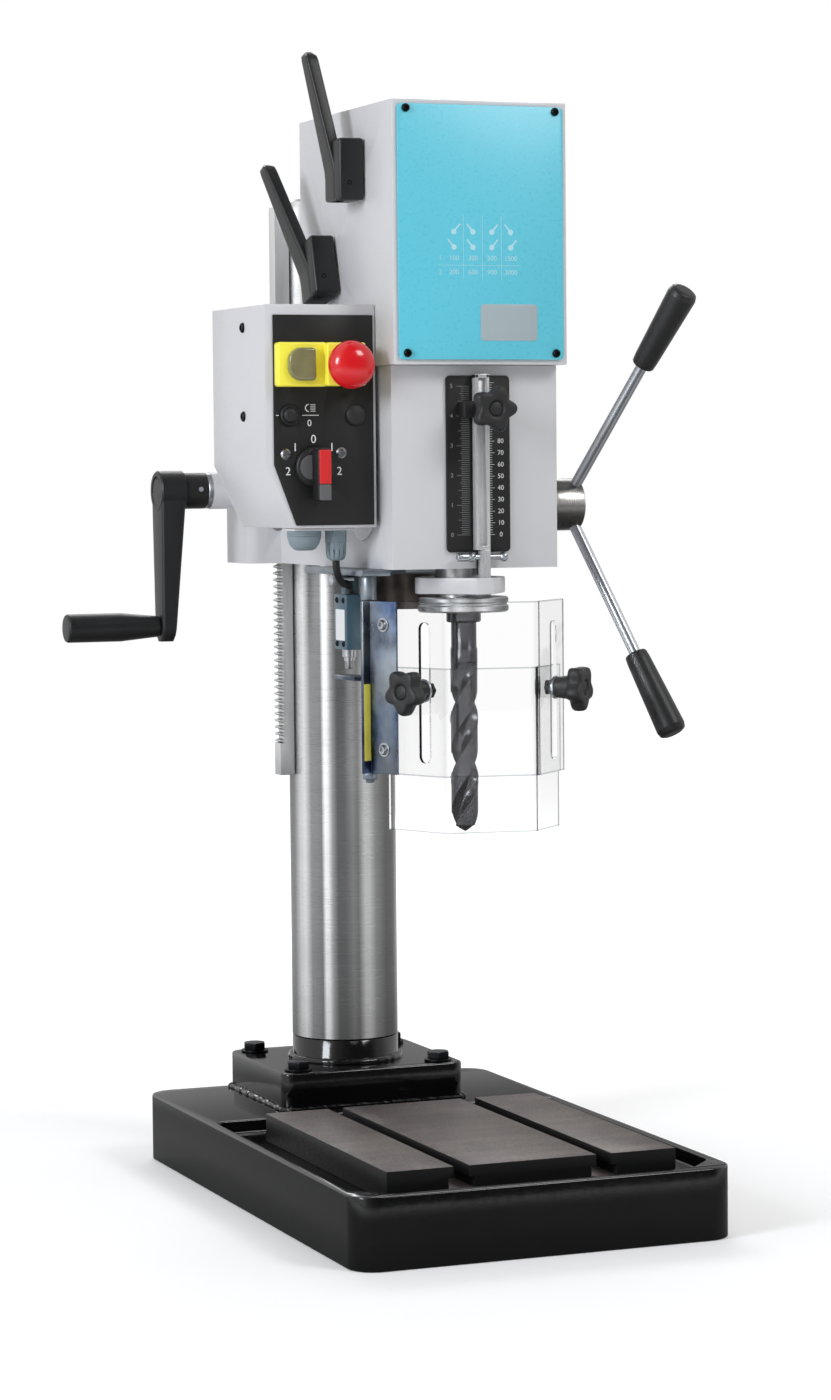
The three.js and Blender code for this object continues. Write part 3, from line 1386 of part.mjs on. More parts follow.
function buildEstopHousing() {
  const seat = faceFront - gap;
  const z = [estopHousingBottom, estopHousingTop];
  const low = block([estopHousingLeft, estopHousingRight], [seat - estopLowDepth, seat], z);
  const high = block([estopHousingStep, estopHousingRight], [seat - estopHighDepth, seat], z);
  const hole = bar("y", [estopX, 0, estopZ], estopStem + gap,
    [seat - estopHighDepth - overrun, seat + overrun]);
  return cut(join(low, high, buildLampLens()), hole);
}

function buildEstopButton() {
  const face = faceFront - gap - estopHighDepth - estopLift;
  const profile = [[0, faceFront + 3 * overrun], [estopStem, faceFront + 3 * overrun], [estopStem, face]];
  profile.push([estopRadius - overrun, face], [estopRadius, face - overrun]);
  const steps = 6;
  for (let step = 1; step <= steps; step += 1) {
    const angle = step / steps * Math.PI / 2;
    profile.push([estopRadius * Math.cos(angle), face - overrun - (estopDome - overrun) * Math.sin(angle)]);
  }
  profile[profile.length - 1][0] = 0;
  return turned("y", [estopX, 0, estopZ], profile);
}

function buildLampLens() {
  const seat = faceFront - estopLowDepth;
  const middle = (estopHousingBottom + estopHousingTop) / 2;
  const steps = 6;
  const outline = ring(steps + 1).map((step) => {
    const angle = Math.PI * step / steps;
    return [lensX + lensHalfWidth * Math.cos(angle), seat - lensDepth * Math.sin(angle)];
  });
  return prismZ(outline, [middle - lensHalfHeight, middle + lensHalfHeight]);
}

function buildLightButton() {
  const face = faceFront - gap - buttonHeight;
  return turned("y", [lightButtonX, 0, buttonRowZ], [
    [0, faceFront + 4 * overrun], [buttonStem, faceFront + 4 * overrun], [buttonStem, faceFront - 2 * overrun],
    [buttonRadius, faceFront - 2 * overrun], [buttonRadius, face - overrun], [0, face - overrun],
  ]);
}

function buildRotarySwitch() {
  const seat = faceFront - gap;
  const baseFace = seat - rotaryBaseHeight;
  const point = [rotaryX, 0, rotaryZ];
  const base = bar("y", point, rotaryBaseRadius, [baseFace, seat]);
  const stem = bar("y", point, rotaryStem, [baseFace, seat + 3 * overrun]);
  const handle = block([rotaryX - rotaryHandleWidth / 2, rotaryX + rotaryHandleWidth / 2],
    [baseFace - rotaryHandleHeight, baseFace + gap],
    [rotaryZ - rotaryHandleLength * 0.6, rotaryZ + rotaryHandleLength * 0.4]);
  return join(base, stem, handle, buildRotaryPointer());
}

function buildRotaryPointer() {
  const seat = faceFront - rotaryBaseHeight;
  const left = rotaryX + rotaryHandleWidth / 2 - gap;
  return block([left, left + rotaryHandleWidth * 0.8], [seat - rotaryHandleHeight * 0.7, seat],
    [rotaryZ - rotaryHandleLength * 0.28, rotaryZ + rotaryHandleLength * 0.4]);
}

function buildSwitchBlock() {
  const wall = controlFront + controlWall;
  const front = wall + switchBlockGap;
  const depth = [front, front + switchBlockDepth];
  const rotary = block([rotaryX - switchBlockHalf, rotaryX + switchBlockHalf], depth,
    [rotaryZ - switchBlockHalf, rotaryZ + switchBlockHalf]);
  const estop = block([estopX - switchBlockHalf, estopX + switchBlockHalf], depth,
    [estopZ - switchBlockHalf, estopZ + switchBlockHalf]);
  const bridge = block([estopX - switchBlockHalf, rotaryX + switchBlockHalf], depth,
    [rotaryZ, estopZ]);
  const feet = [[rotaryX, rotaryZ], [estopX, estopZ]].flatMap(([x, z]) => [-1, 1].flatMap((sideX) =>
    [-1, 1].map((sideZ) => block(footSpan(x, sideX), [wall + gap, front + gap], footSpan(z, sideZ)))));
  return join(rotary, estop, bridge, ...feet);
}

// A foot's width at one corner of a contact block
function footSpan(centre, side) {
  const outer = centre + side * switchBlockHalf;
  return [outer, outer - side * switchBlockFoot].sort((a, b) => a - b);
}

function buildBigGland(seat) {
  return turned("z", [bigGlandX, glandY, 0], [
    [0, seat - bigGlandDrop], [bigGlandRadius * 0.45, seat - bigGlandDrop],
    [bigGlandRadius * 0.85, seat - bigGlandDrop * 0.75], [bigGlandRadius, seat - bigGlandDrop * 0.4],
    [bigGlandRadius, seat], [0, seat],
  ]);
}

function buildSmallGland(seat) {
  const point = [smallGlandX, glandY, 0];
  const hex = bar("z", point, smallGlandRadius, [seat - smallGlandDrop * 0.45, seat], hexSides);
  const nut = bar("z", point, smallGlandRadius * 0.9, [seat - smallGlandDrop, seat - smallGlandDrop * 0.4],
    smallSides);
  return join(hex, nut);
}

// Both glands on their plate, with the cable that runs to the limit switch
function buildSwitchCable() {
  const seat = controlBottom - gap;
  const route = new THREE.CatmullRomCurve3(cableRoute.map((point) => new THREE.Vector3(...point)));
  const sides = 10;
  const section = shapeOf(ring(sides).map((side) => {
    const angle = side / sides * 2 * Math.PI;
    return [cableRadius * Math.cos(angle), cableRadius * Math.sin(angle)];
  }));
  const cable = new THREE.ExtrudeGeometry(section, { steps: 10, bevelEnabled: false, extrudePath: route });
  const plate = block([bigGlandX - bigGlandRadius, smallGlandX + smallGlandRadius + overrun],
    [glandY - bigGlandRadius, glandY + bigGlandRadius], [seat - glandPlate, seat]);
  return join(plate, buildBigGland(seat), buildSmallGland(seat), cable);
}

// Guard: clear bent sheets on a hinged zinc bracket under the head
const carrierTop = headBottom - gap;
const carrierBottom = carrierTop - carrierPlate;

function buildCarrier() {
  const range = [carrierBottom, carrierTop];
  const plate = block([carrierLeft, carrierRight], [carrierFront, carrierBack], range);
  const arm = block([carrierLeft, carrierArmRight], [carrierArmFront, carrierBack], range);
  const boss = bar("z", [carrierBossX, carrierBossY, 0], carrierBossRadius,
    [carrierBossBottom, carrierTop], roundSides);
  return join(plate, arm, boss, buildHingeRod());
}

// Unit directions of the guard's plan, seen from above
function planDirection(degrees) {
  return [Math.cos(radians(degrees)), Math.sin(radians(degrees))];
}
const frontRun = planDirection(guardYaw);
const rightRun = planDirection(guardYaw + guardBend);
const leftRun = planDirection(guardYaw + 180 - guardBend);
const leftOut = [-leftRun[1], leftRun[0]];

function step2([x, y], [dx, dy], length) {
  return [x + dx * length, y + dy * length];
}
const guardRightCorner = step2(guardCorner, frontRun, guardFrontWidth);
const guardLeftEnd = step2(guardCorner, leftRun, guardLeftWidth);
const hingeAt = step2(step2(guardLeftEnd, leftRun, hingeBack), leftOut, -hingeIn);

// A line moved sideways to its left by a distance, with the corners kept sharp
function offsetLine(points, distance) {
  const normals = points.slice(1).map(([x, y], i) => {
    const [dx, dy] = [x - points[i][0], y - points[i][1]];
    const length = Math.hypot(dx, dy);
    return [-dy / length * distance, dx / length * distance];
  });
  return points.map(([x, y], i) => {
    const before = normals[Math.max(0, i - 1)];
    const after = normals[Math.min(normals.length - 1, i)];
    const scale = 2 * distance ** 2 / ((before[0] + after[0]) ** 2 + (before[1] + after[1]) ** 2);
    return [x + (before[0] + after[0]) * scale, y + (before[1] + after[1]) * scale];
  });
}

// Rounds the inner corners of a line
function roundLine(points, radius) {
  const result = [points[0]];
  for (let i = 1; i < points.length - 1; i += 1) {
    const corner = new THREE.Vector2(...points[i]);
    const before = new THREE.Vector2(...points[i - 1]).sub(corner).normalize();
    const after = new THREE.Vector2(...points[i + 1]).sub(corner).normalize();
    const half = before.angleTo(after) / 2;
    const back = radius / Math.tan(half);
    const start = corner.clone().addScaledVector(before, back);
    const end = corner.clone().addScaledVector(after, back);
    const curve = new THREE.QuadraticBezierCurve(start, corner, end);
    curve.getPoints(cornerSteps).forEach((point) => result.push([point.x, point.y]));
  }
  result.push(points[points.length - 1]);
  return result;
}

function sheet(line, z) {
  const inner = offsetLine(line, guardSheet);
  const outline = [...roundLine(line, guardBendRadius), ...roundLine(inner, guardBendRadius - guardSheet).reverse()];
  return prismZ(outline, z);
}

function guardLine(inset, leftWidth, rightWidth) {
  const line = [
    step2(guardCorner, leftRun, leftWidth), guardCorner, guardRightCorner,
    step2(guardRightCorner, rightRun, rightWidth),
  ];
  return inset ? offsetLine(line, inset) : line;
}

// Cutters and pieces on the left or right guard panel, out along its normal
function onPanel(geometry, side, distance) {
  const run = side < 0 ? leftRun : rightRun;
  const corner = side < 0 ? guardCorner : guardRightCorner;
  const out = side < 0 ? leftOut : [rightRun[1], -rightRun[0]];
  const at = step2(corner, run, distance);
  return geometry.rotateZ(Math.atan2(out[1], out[0])).translate(at[0], at[1], 0);
}

const studSides = [[-1, guardSlotLeft], [1, guardSlotRight]];

function buildUpperShield() {
  const body = sheet(guardLine(0, guardLeftWidth, guardRightWidth), [guardBottom, guardTop]);
  const half = guardSlotWidth / 2;
  const slots = studSides.map(([side, distance]) => {
    const across = [-guardSheet - overrun, overrun];
    const slot = join(block(across, [-half, half], [guardSlotBottom + half, guardSlotTop - half]),
      bar("x", [0, 0, guardSlotBottom + half], half, across, smallSides),
      bar("x", [0, 0, guardSlotTop - half], half, across, smallSides));
    return onPanel(slot, side, distance);
  });
  return cut(body, ...slots);
}

function buildLowerShield() {
  const inset = guardSheet + shieldGap;
  const body = sheet(guardLine(inset, shieldLeftWidth, shieldRightWidth), [shieldBottom, shieldTop]);
  const holes = studSides.map(([side, distance]) => onPanel(bar("x", [0, 0, shieldStudZ],
    studRadius + gap, [-3 * inset - overrun, overrun], smallSides), side, distance));
  const nuts = studSides.map(([side, distance]) => onPanel(bar("x", [0, 0, shieldStudZ], washerDisc,
    [-inset - guardSheet - studRadius, -inset - guardSheet / 2], hexSides), side, distance));
  return cut(join(body, ...nuts), ...holes);
}

// A star knob with its stud, through the slot and into the lower shield's pressed-in nut
function buildShieldKnob([side, distance]) {
  const knob = starKnob().rotateY(Math.PI / 2).translate(washerThickness + 2 * gap, 0, shieldStudZ);
  const stud = bar("x", [0, 0, shieldStudZ], studRadius,
    [-2 * guardSheet - shieldGap - studRadius, starNeckLength], smallSides);
  const washer = bar("x", [0, 0, shieldStudZ], washerDisc, [gap, 3 * gap + washerThickness]);
  return onPanel(join(knob, washer, stud), side, distance);
}

function buildGuardBracket() {
  const range = [guardBottom, guardTop];
  const width = guardLeftWidth;
  const face = onPanel(block([gap, gap + bracketSheet], [-bracketLeg / 2 - bracketSheet, bracketLeg / 2], range), -1,
    width - bracketLeg / 2);
  const wing = onPanel(block([-hingeIn - hingeRod, bracketReturn], [-bracketSheet, 0], range), -1,
    width + gap);
  const knuckles = [guardBottom, guardTop - hingeKnuckleHeight].map((low) =>
    bar("z", [...hingeAt, 0], hingeKnuckle, [low, low + hingeKnuckleHeight]));
  const camTop = switchBottom - plungerLength - camGap;
  const cam = block([hingeAt[0] - 2 * hingeKnuckle, hingeAt[0] + hingeKnuckle],
    [hingeAt[1], switchY + plungerRadius], [camTop - camThickness, camTop]);
  const camEye = bar("z", [...hingeAt, 0], hingeKnuckle, [camTop - hingeKnuckleHeight, camTop]);
  const bore = bar("z", [...hingeAt, 0], hingeRod + gap, [guardBottom - overrun, guardTop + overrun], smallSides);
  return cut(join(face, wing, ...knuckles, cam, camEye), bore);
}

function buildHingeRod() {
  const point = [...hingeAt, 0];
  const nut = bar("z", point, hingeKnuckle, [guardBottom - gap - hingeNutHeight, guardBottom - gap], hexSides);
  const stop = bar("z", point, hingeKnuckle, [guardTop + gap, carrierBottom - gap], smallSides);
  return join(bar("z", point, hingeRod, [hingeRodBottom, carrierTop], smallSides), nut, stop);
}

function buildLimitSwitch() {
  const body = join(
    block([switchLeft, switchRight], [switchFront, switchBack], [switchBottom, switchTop]),
    block([switchX - switchFootWidth / 2, switchRight],
      [switchY - switchFootWidth / 2, switchY + switchFootWidth / 2], [switchTop - gap, carrierBottom - gap]));
  const hole = bar("z", [switchX, switchY, 0], plungerRadius / 2 + gap,
    [switchBottom - overrun, switchBottom + plungerLength], smallSides);
  return cut(body, hole);
}

// The guard's cam plate lies under this plunger while the guard is shut
function buildPlunger() {
  const point = [switchX, switchY, 0];
  const stem = bar("z", point, plungerRadius / 2, [switchBottom - overrun, switchBottom + plungerLength / 2],
    smallSides);
  const head = bar("z", point, plungerRadius, [switchBottom - plungerLength, switchBottom - overrun + gap],
    smallSides);
  return join(stem, head);
}

// The assembly
const [upper, lower] = selectors;
const [leftKnob, rightKnob] = studSides.map(buildShieldKnob);

add("base_casting", buildBase(), blackPaint);
add("column_flange", buildFlange(), blackPaint);
flangeCorners().forEach((corner, i) => add(`flange_bolt_${i + 1}`, buildFlangeBolt(corner), darkSteel));
add("column", buildColumn(), brightSteel);
add("lift_rack", buildRack(), brightSteel);

add("head_casting", buildHead(), greyPaint);
add("clamp_bolt", buildClampBolt(), darkSteel);
add("worm_shaft", buildWorm(), darkSteel);
add("lift_gears", buildLiftGears(), brightSteel);
add("crank", buildCrank(), blackPlastic);
add("crank_grip", buildCrankGrip(), blackPlastic);

add("gearbox_housing", buildGearbox(), greyPaint);
add("front_panel", buildFrontPanel(), turquoise);
add("spindle_sleeve", buildSpindleSleeve(), brightSteel);
add("layshaft", buildLayshaft(), brightSteel);
add("sliding_gears", buildSlidingGears(), brightSteel);
add("idler_gear", buildIdler(), brightSteel);
add("motor_rotor", buildMotorRotor(), brightSteel);
add("motor_stator", buildMotorStator(), darkSteel);
add("bearing_plate", buildBearingPlate(), castIron);
add("upper_lever", buildLever(upper), blackPlastic);
add("lower_lever", buildLever(lower), blackPlastic);
add("upper_fork", buildFork(upper, layAt, sleeveHub,
  shiftGrooveZ + (shiftGroove - forkArmThickness) / 2), castIron);
add("lower_fork", buildFork(lower, spindleAt, clutchRadius - shiftGroove,
  collarZ + (clutchHeight - forkArmThickness) / 2), castIron);
add("clutch_collar", buildClutchCollar(), brightSteel);

add("quill", buildQuill(), brightSteel);
add("quill_yoke", buildYoke(), greyPaint);
add("spindle", buildSpindle(), brightSteel);
add("spindle_bearing", buildSpindleBearing(), brightSteel);
add("drill_bit", buildDrill(), darkSteel);
add("depth_bar", join(buildDepthBar(), buildToggle()), brightSteel);
add("depth_stop", buildStopBlock(), blackPlastic);
add("depth_knob", buildDepthKnob(), blackPlastic);
add("scale_plate", buildScalePlate(), blackPaint);

add("feed_shaft", buildFeedShaft(), brightSteel);
add("feed_bush", buildFeedBush(), darkSteel);
add("spring_case", buildSpringCase(), darkSteel);
add("capstan_hub", buildCapstanHub(), brightSteel);
ring(spokeCount).forEach((spoke) =>
  add(`capstan_handle_${spoke + 1}`, buildCapstanHandle(spoke), blackPlastic));

add("control_box", buildControlBox(), greyPaint);
add("face_panel", buildFacePanel(), blackPlastic);
add("estop_housing", buildEstopHousing(), yellowPlastic);
add("estop_button", buildEstopButton(), redPlastic);
add("light_button", buildLightButton(), clearPlastic);
add("rotary_knob", buildRotarySwitch(), blackPlastic);
add("switch_block", buildSwitchBlock(), blackPlastic);
add("switch_cable", buildSwitchCable(), glandPlastic);

add("guard_carrier", buildCarrier(), blackPaint);
add("limit_switch", buildLimitSwitch(), switchGrey);
add("switch_plunger", buildPlunger(), brightSteel);
add("guard_bracket", buildGuardBracket(), zinc);
add("upper_shield", buildUpperShield(), clearPlastic);
add("lower_shield", buildLowerShield(), clearPlastic);
add("left_knob", leftKnob, blackPlastic);
add("right_knob", rightKnob, blackPlastic);

export default model;
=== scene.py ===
import json
import math
import random

import bmesh
import bpy
from mathutils import Matrix, Vector

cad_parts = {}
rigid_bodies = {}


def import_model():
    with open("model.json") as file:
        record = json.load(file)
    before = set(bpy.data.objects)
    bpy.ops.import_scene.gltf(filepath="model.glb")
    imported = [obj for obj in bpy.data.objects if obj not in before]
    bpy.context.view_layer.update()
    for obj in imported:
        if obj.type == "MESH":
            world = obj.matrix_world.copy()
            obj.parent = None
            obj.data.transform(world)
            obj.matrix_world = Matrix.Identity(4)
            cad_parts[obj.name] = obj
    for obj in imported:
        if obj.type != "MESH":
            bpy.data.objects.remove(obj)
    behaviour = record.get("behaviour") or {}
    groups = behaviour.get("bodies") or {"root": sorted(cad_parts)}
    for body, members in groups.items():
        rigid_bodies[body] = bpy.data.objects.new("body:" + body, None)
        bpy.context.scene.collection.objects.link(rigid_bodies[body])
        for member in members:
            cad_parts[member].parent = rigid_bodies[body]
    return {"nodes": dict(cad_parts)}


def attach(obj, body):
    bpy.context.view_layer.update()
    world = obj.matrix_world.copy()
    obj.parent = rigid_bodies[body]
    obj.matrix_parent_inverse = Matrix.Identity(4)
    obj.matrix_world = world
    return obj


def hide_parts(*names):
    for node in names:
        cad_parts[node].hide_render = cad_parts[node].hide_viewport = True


MM = 0.001

for extra in list(bpy.data.objects):
    bpy.data.objects.remove(extra)
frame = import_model()
bpy.context.scene.view_settings.view_transform = "Standard"
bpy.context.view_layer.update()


def linked(name, data):
    """A new object in the scene."""
    made = bpy.data.objects.new(name, data)
    bpy.context.scene.collection.objects.link(made)
    return made


# Camera, solved from the photograph
CAMERA_YAW = math.radians(21.567)
CAMERA_PITCH = math.radians(3.613)
CAMERA_ROLL = math.radians(-0.534)
CAMERA_AT = Vector((-1202.89, -3033.22, 653.37))
FOCAL_PIXELS = 3652.93
PHOTO_HEIGHT = 1400
SENSOR = 36


def make_camera():
    """Stands the camera where the photograph was taken."""
    data = bpy.data.cameras.new("camera")
    data.sensor_width = SENSOR
    data.lens = FOCAL_PIXELS / PHOTO_HEIGHT * SENSOR
    data.clip_start, data.clip_end = 0.1, 60
    camera = linked("camera", data)
    level = Matrix.Rotation(math.pi / 2, 4, "X")
    yaw = Matrix.Rotation(-CAMERA_YAW, 4, "Z")
    pitch = Matrix.Rotation(-CAMERA_PITCH, 4, "X")
    roll = Matrix.Rotation(CAMERA_ROLL, 4, "Z")
    camera.matrix_world = Matrix.Translation(CAMERA_AT * MM) @ yaw @ level @ pitch @ roll
    bpy.context.scene.camera = camera


# Materials
class Nodes:
    """A tree whose nodes are added one by one."""

    def __init__(self, tree):
        self.tree = tree

    def node(self, kind, inputs=None, **settings):
        made = self.tree.nodes.new(kind)
        for key, value in settings.items():
            setattr(made, key, value)
        for key, value in (inputs or {}).items():
            self.feed(made.inputs[key], value)
        return made

    def feed(self, socket, value):
        if isinstance(value, bpy.types.NodeSocket):
            self.tree.links.new(value, socket)
        else:
            socket.default_value = value

    def math(self, operation, *values, **settings):
        made = self.node("ShaderNodeMath", dict(enumerate(values)), operation=operation, **settings)
        return made.outputs[0]

    def vector_math(self, operation, *values):
        made = self.node("ShaderNodeVectorMath", dict(enumerate(values)), operation=operation)
        return made.outputs["Value"]

    def ranged(self, value, low, high, start=0.3, end=0.7):
        """The value, with start to end turned into low to high."""
        return self.node("ShaderNodeMapRange", {
            "Value": value, "From Min": start, "From Max": end, "To Min": low, "To Max": high,
        }).outputs["Result"]

    def mixed(self, share, first, second, **settings):
        made = self.node("ShaderNodeMix", {}, data_type="RGBA", **settings)
        for place, value in ((0, share), (6, first), (7, second)):
            self.feed(made.inputs[place], value)
        return made.outputs[2]

    def ramp(self, share, stops, interpolation="LINEAR"):
        """A scale of colours from pairs of place and colour."""
        made = self.node("ShaderNodeValToRGB", {"Fac": share})
        made.color_ramp.interpolation = interpolation
        elements = made.color_ramp.elements
        elements[0].position, elements[1].position = stops[0][0], stops[-1][0]
        for place, _ in stops[1:-1]:
            elements.new(place)
        for element, (_, color) in zip(elements, stops):
            element.color = color
        return made.outputs["Color"]


class Shader(Nodes):
    """A material whose coordinates stay with the piece."""

    def __init__(self, name):
        self.material = bpy.data.materials.new(name)
        self.material.use_nodes = True
        super().__init__(self.material.node_tree)
        self.surface = self.tree.nodes["Principled BSDF"]

    def place(self, stretch=(1, 1, 1)):
        at = self.node("ShaderNodeTexCoord").outputs["Object"]
        return self.node("ShaderNodeMapping", {"Vector": at, "Scale": stretch}).outputs["Vector"]

    def noise(self, scale, stretch=(1, 1, 1), detail=4):
        return self.node("ShaderNodeTexNoise", {
            "Vector": self.place(stretch), "Scale": scale, "Detail": detail}).outputs["Fac"]

    def set(self, **values):
        for key, value in values.items():
            self.feed(self.surface.inputs[key.replace("_", " ")], value)

    def bump(self, height, distance):
        made = self.node("ShaderNodeBump", {"Height": height, "Distance": distance, "Strength": 1.0})
        self.set(Normal=made.outputs["Normal"])


def linear(red, green, blue):
    """A colour as it looks on a screen, turned to the renderer's own scale."""
    shares = [value / 255 for value in (red, green, blue)]
    return (*(share / 12.92 if share <= 0.04045 else ((share + 0.055) / 1.055) ** 2.4 for share in shares), 1)


def scaled(color, factor):
    return (*(min(1, channel * factor) for channel in color[:3]), 1)


def coated(name, color, spread, roughness, grain, bump=2e-5, blotch=9, metallic=0, coat=0, level=0.5,
           stretch=(1, 1, 1)):
    """Paint or plastic: two close shades in soft blotches, with fine grain in its surface."""
    shader = Shader(name)
    blotches = shader.noise(blotch)
    fine = shader.noise(grain, stretch, 3)
    shade_pair = scaled(color, 1 - spread), scaled(color, 1 + spread)
    shader.set(Base_Color=shader.mixed(shader.ranged(blotches, 0, 1), *shade_pair),
               Roughness=shader.ranged(fine, *roughness), Metallic=metallic,
               Coat_Weight=coat, Coat_Roughness=0.08, Specular_IOR_Level=level)
    shader.bump(fine, bump)
    return shader.material


def metal(name, color, roughness=(0.2, 0.32), grain=260, stretch=(1, 1, 20), spread=0.12, bump=1e-5):
    """Bare metal with tool marks along the axis whose stretch is small."""
    shader = Shader(name)
    dark = scaled(color, 1 - spread)
    marks = shader.noise(grain, stretch, 5)
    marked = shader.mixed(shader.ranged(marks, 0, 1), dark, color)
    shader.set(Base_Color=shader.mixed(shader.ranged(shader.noise(14), 0, 0.5), marked, dark),
               Roughness=shader.ranged(marks, *roughness), Metallic=1.0)
    shader.bump(marks, bump)
    return shader.material


def banded_metal(name, tint, direction, bands, marks, stretch, roughness=(0.26, 0.32), bump=6e-7):
    """Machined metal with tool marks, and painted reflection and shade: light and dark bands that follow how far it
    faces a direction.
    """
    shader = Shader(name)
    fine = shader.noise(marks, stretch, 4)
    rubs = shader.noise(30, tuple(0.3 if value < 0.5 else 1 for value in stretch), 4)
    low = scaled(tint, 0.9)
    color = shader.mixed(shader.ranged(rubs, 0, 1), low, tint)
    color = shader.mixed(shader.ranged(fine, 0, 0.06), color, low)
    normal = shader.node("ShaderNodeNewGeometry").outputs["Normal"]
    facing = shader.ranged(shader.vector_math("DOT_PRODUCT", normal, direction), 0, 1, -1, 1)
    # Painted reflection and shade: the studio's light and dark bands go into the base colour by facing
    studio = shader.ramp(facing, [((place + 1) / 2, linear(level, level, level)) for place, level in bands])
    shader.set(Base_Color=shader.mixed(1, color, studio, blend_type="MULTIPLY"), Metallic=0.8,
               Roughness=shader.ranged(fine, *roughness))
    shader.bump(fine, bump)
    return shader.material


def machined_table():
    """Milled iron: brown-grey on top with faint cutter arcs, near black where its faces turn sideways."""
    shader = Shader("machined_table")
    arcs = shader.node("ShaderNodeTexWave", {
        "Vector": shader.place((1, 0.12, 1)), "Scale": 90, "Distortion": 3, "Detail": 3,
        "Detail Scale": 2}, wave_type="BANDS", bands_direction="Y").outputs["Fac"]
    grain = shader.noise(900, (1, 0.3, 1), 3)
    stains = shader.noise(16, detail=6)
    top = shader.mixed(shader.ranged(stains, 0, 1, 0.35, 0.65), linear(74, 66, 63), linear(101, 92, 88))
    top = shader.mixed(shader.ranged(arcs, 0, 0.3), top, linear(62, 55, 53))
    up = shader.node("ShaderNodeSeparateXYZ", {
        "Vector": shader.node("ShaderNodeNewGeometry").outputs["True Normal"]}).outputs["Z"]
    side = shader.ranged(up, 0, 1, 0.4, 0.9)
    shader.set(Base_Color=shader.mixed(side, linear(20, 20, 21), top), Metallic=0.35,
               Roughness=shader.ranged(grain, 0.38, 0.55))
    shader.bump(grain, 2e-5)
    return shader.material


def carrier_metal():
    """Dark cast boss below a zinc plate and its arm."""
    shader = Shader("carrier_metal")
    place = shader.node("ShaderNodeSeparateXYZ", {"Vector": shader.place()}).outputs
    plate = shader.ranged(place["Z"], 0, 1, 0.5615, 0.5622)
    arm = shader.ranged(place["X"], 1, 0, -0.07, -0.069)
    clouds = shader.noise(50, detail=5)
    share = shader.ranged(clouds, 0, 1)
    iron = shader.mixed(share, linear(66, 58, 54), linear(96, 88, 82))
    zinc = shader.mixed(share, linear(112, 124, 140), linear(164, 170, 174))
    shader.set(Base_Color=shader.mixed(shader.math("MAXIMUM", plate, arm), iron, zinc), Metallic=0.75,
               Roughness=shader.ranged(clouds, 0.28, 0.44))
    shader.bump(clouds, 1e-5)
    return shader.material


def zinc_sheet():
    """Zinc plate with its blue and straw clouds."""
    shader = Shader("zinc_sheet")
    clouds = shader.noise(45, detail=6)
    patches = shader.noise(18, (1, 1, 0.6), 5)
    blue = shader.mixed(shader.ranged(clouds, 0, 1, 0.38, 0.62), linear(36, 50, 76), linear(82, 98, 126))
    tint = shader.mixed(shader.ranged(patches, 0, 1, 0.45, 0.7), blue, linear(150, 156, 160))
    shader.set(Base_Color=tint, Metallic=1.0, Roughness=shader.ranged(clouds, 0.22, 0.4))
    shader.bump(clouds, 1e-5)
    return shader.material


# Shade on a screen, spread, roughness and grain; then bump, blotch, metallic, coat, level and stretch
COATINGS = {
    "black_gloss": ((10, 10, 11), 0.3, (0.06, 0.14), 240, 5e-5, 9, 0, 0.3, 0.4),
    "grey_paint": ((205, 205, 208), 0.02, (0.28, 0.42), 420),
    "turquoise": ((97, 199, 220), 0.008, (0.25, 0.34), 300, 3e-6),
    "black_plastic": ((27, 27, 28), 0.12, (0.36, 0.5), 1500),
    "black_satin": ((24, 23, 23), 0.1, (0.42, 0.55), 900, 8e-6),
    "soft_black": ((34, 34, 35), 0.1, (0.46, 0.58), 1800, 3e-5),
    "red_plastic": ((214, 20, 28), 0.04, (0.16, 0.24), 500, 4e-6, 9, 0, 0.4),
    "red_indicator": ((214, 34, 36), 0.06, (0.35, 0.45), 700),
    "yellow_plastic": ((252, 240, 76), 0.03, (0.3, 0.4), 700),
    "yellow_strip": ((236, 228, 96), 0.05, (0.4, 0.5), 500, 2e-5, 60),
    "grey_plate": ((164, 178, 183), 0.03, (0.35, 0.45), 900, 4e-6),
    "grey_plastic": ((98, 98, 100), 0.06, (0.4, 0.5), 800),
    "gland_plastic": ((130, 144, 152), 0.08, (0.35, 0.5), 900),
    "switch_paint": ((60, 88, 102), 0.1, (0.3, 0.45), 700, 2e-5, 9, 0, 0.2),
    "white_print": ((226, 228, 228), 0.02, (0.45, 0.55), 900, 2e-6),
    "dim_print": ((140, 140, 140), 0.05, (0.45, 0.55), 900, 2e-6),
    "pale_print": ((178, 222, 232), 0.02, (0.35, 0.45), 900, 2e-6),
    "white_label": ((222, 225, 226), 0.03, (0.4, 0.5), 500, 4e-6),
    "cable_rubber": ((26, 27, 29), 0.1, (0.45, 0.6), 1200),
    "cast_iron": ((62, 60, 58), 0.12, (0.5, 0.65), 500, 8e-5, 9, 0.5),
    "bar_steel": ((198, 198, 200), 0.04, (0.22, 0.32), 300, 1e-6, 9, 0.35, 0, 0.5, (1, 1, 0.05)),
    "smoky_lens": ((128, 124, 88), 0.14, (0.06, 0.12), 300, 4e-6, 60, 0, 1),
}
# Shade on a screen; then roughness, grain, stretch, spread and bump
METALS = {
    "bright_steel": ((196, 197, 200),),
    "satin_steel": ((168, 168, 168), (0.28, 0.42), 320, (1, 1, 0.05)),
    "drill_steel": ((86, 86, 90), (0.2, 0.26), 60, (1, 1, 0.3), 0.1, 2e-7),
    "bolt_black": ((40, 41, 43), (0.3, 0.45), 500, (1, 1, 1)),
}
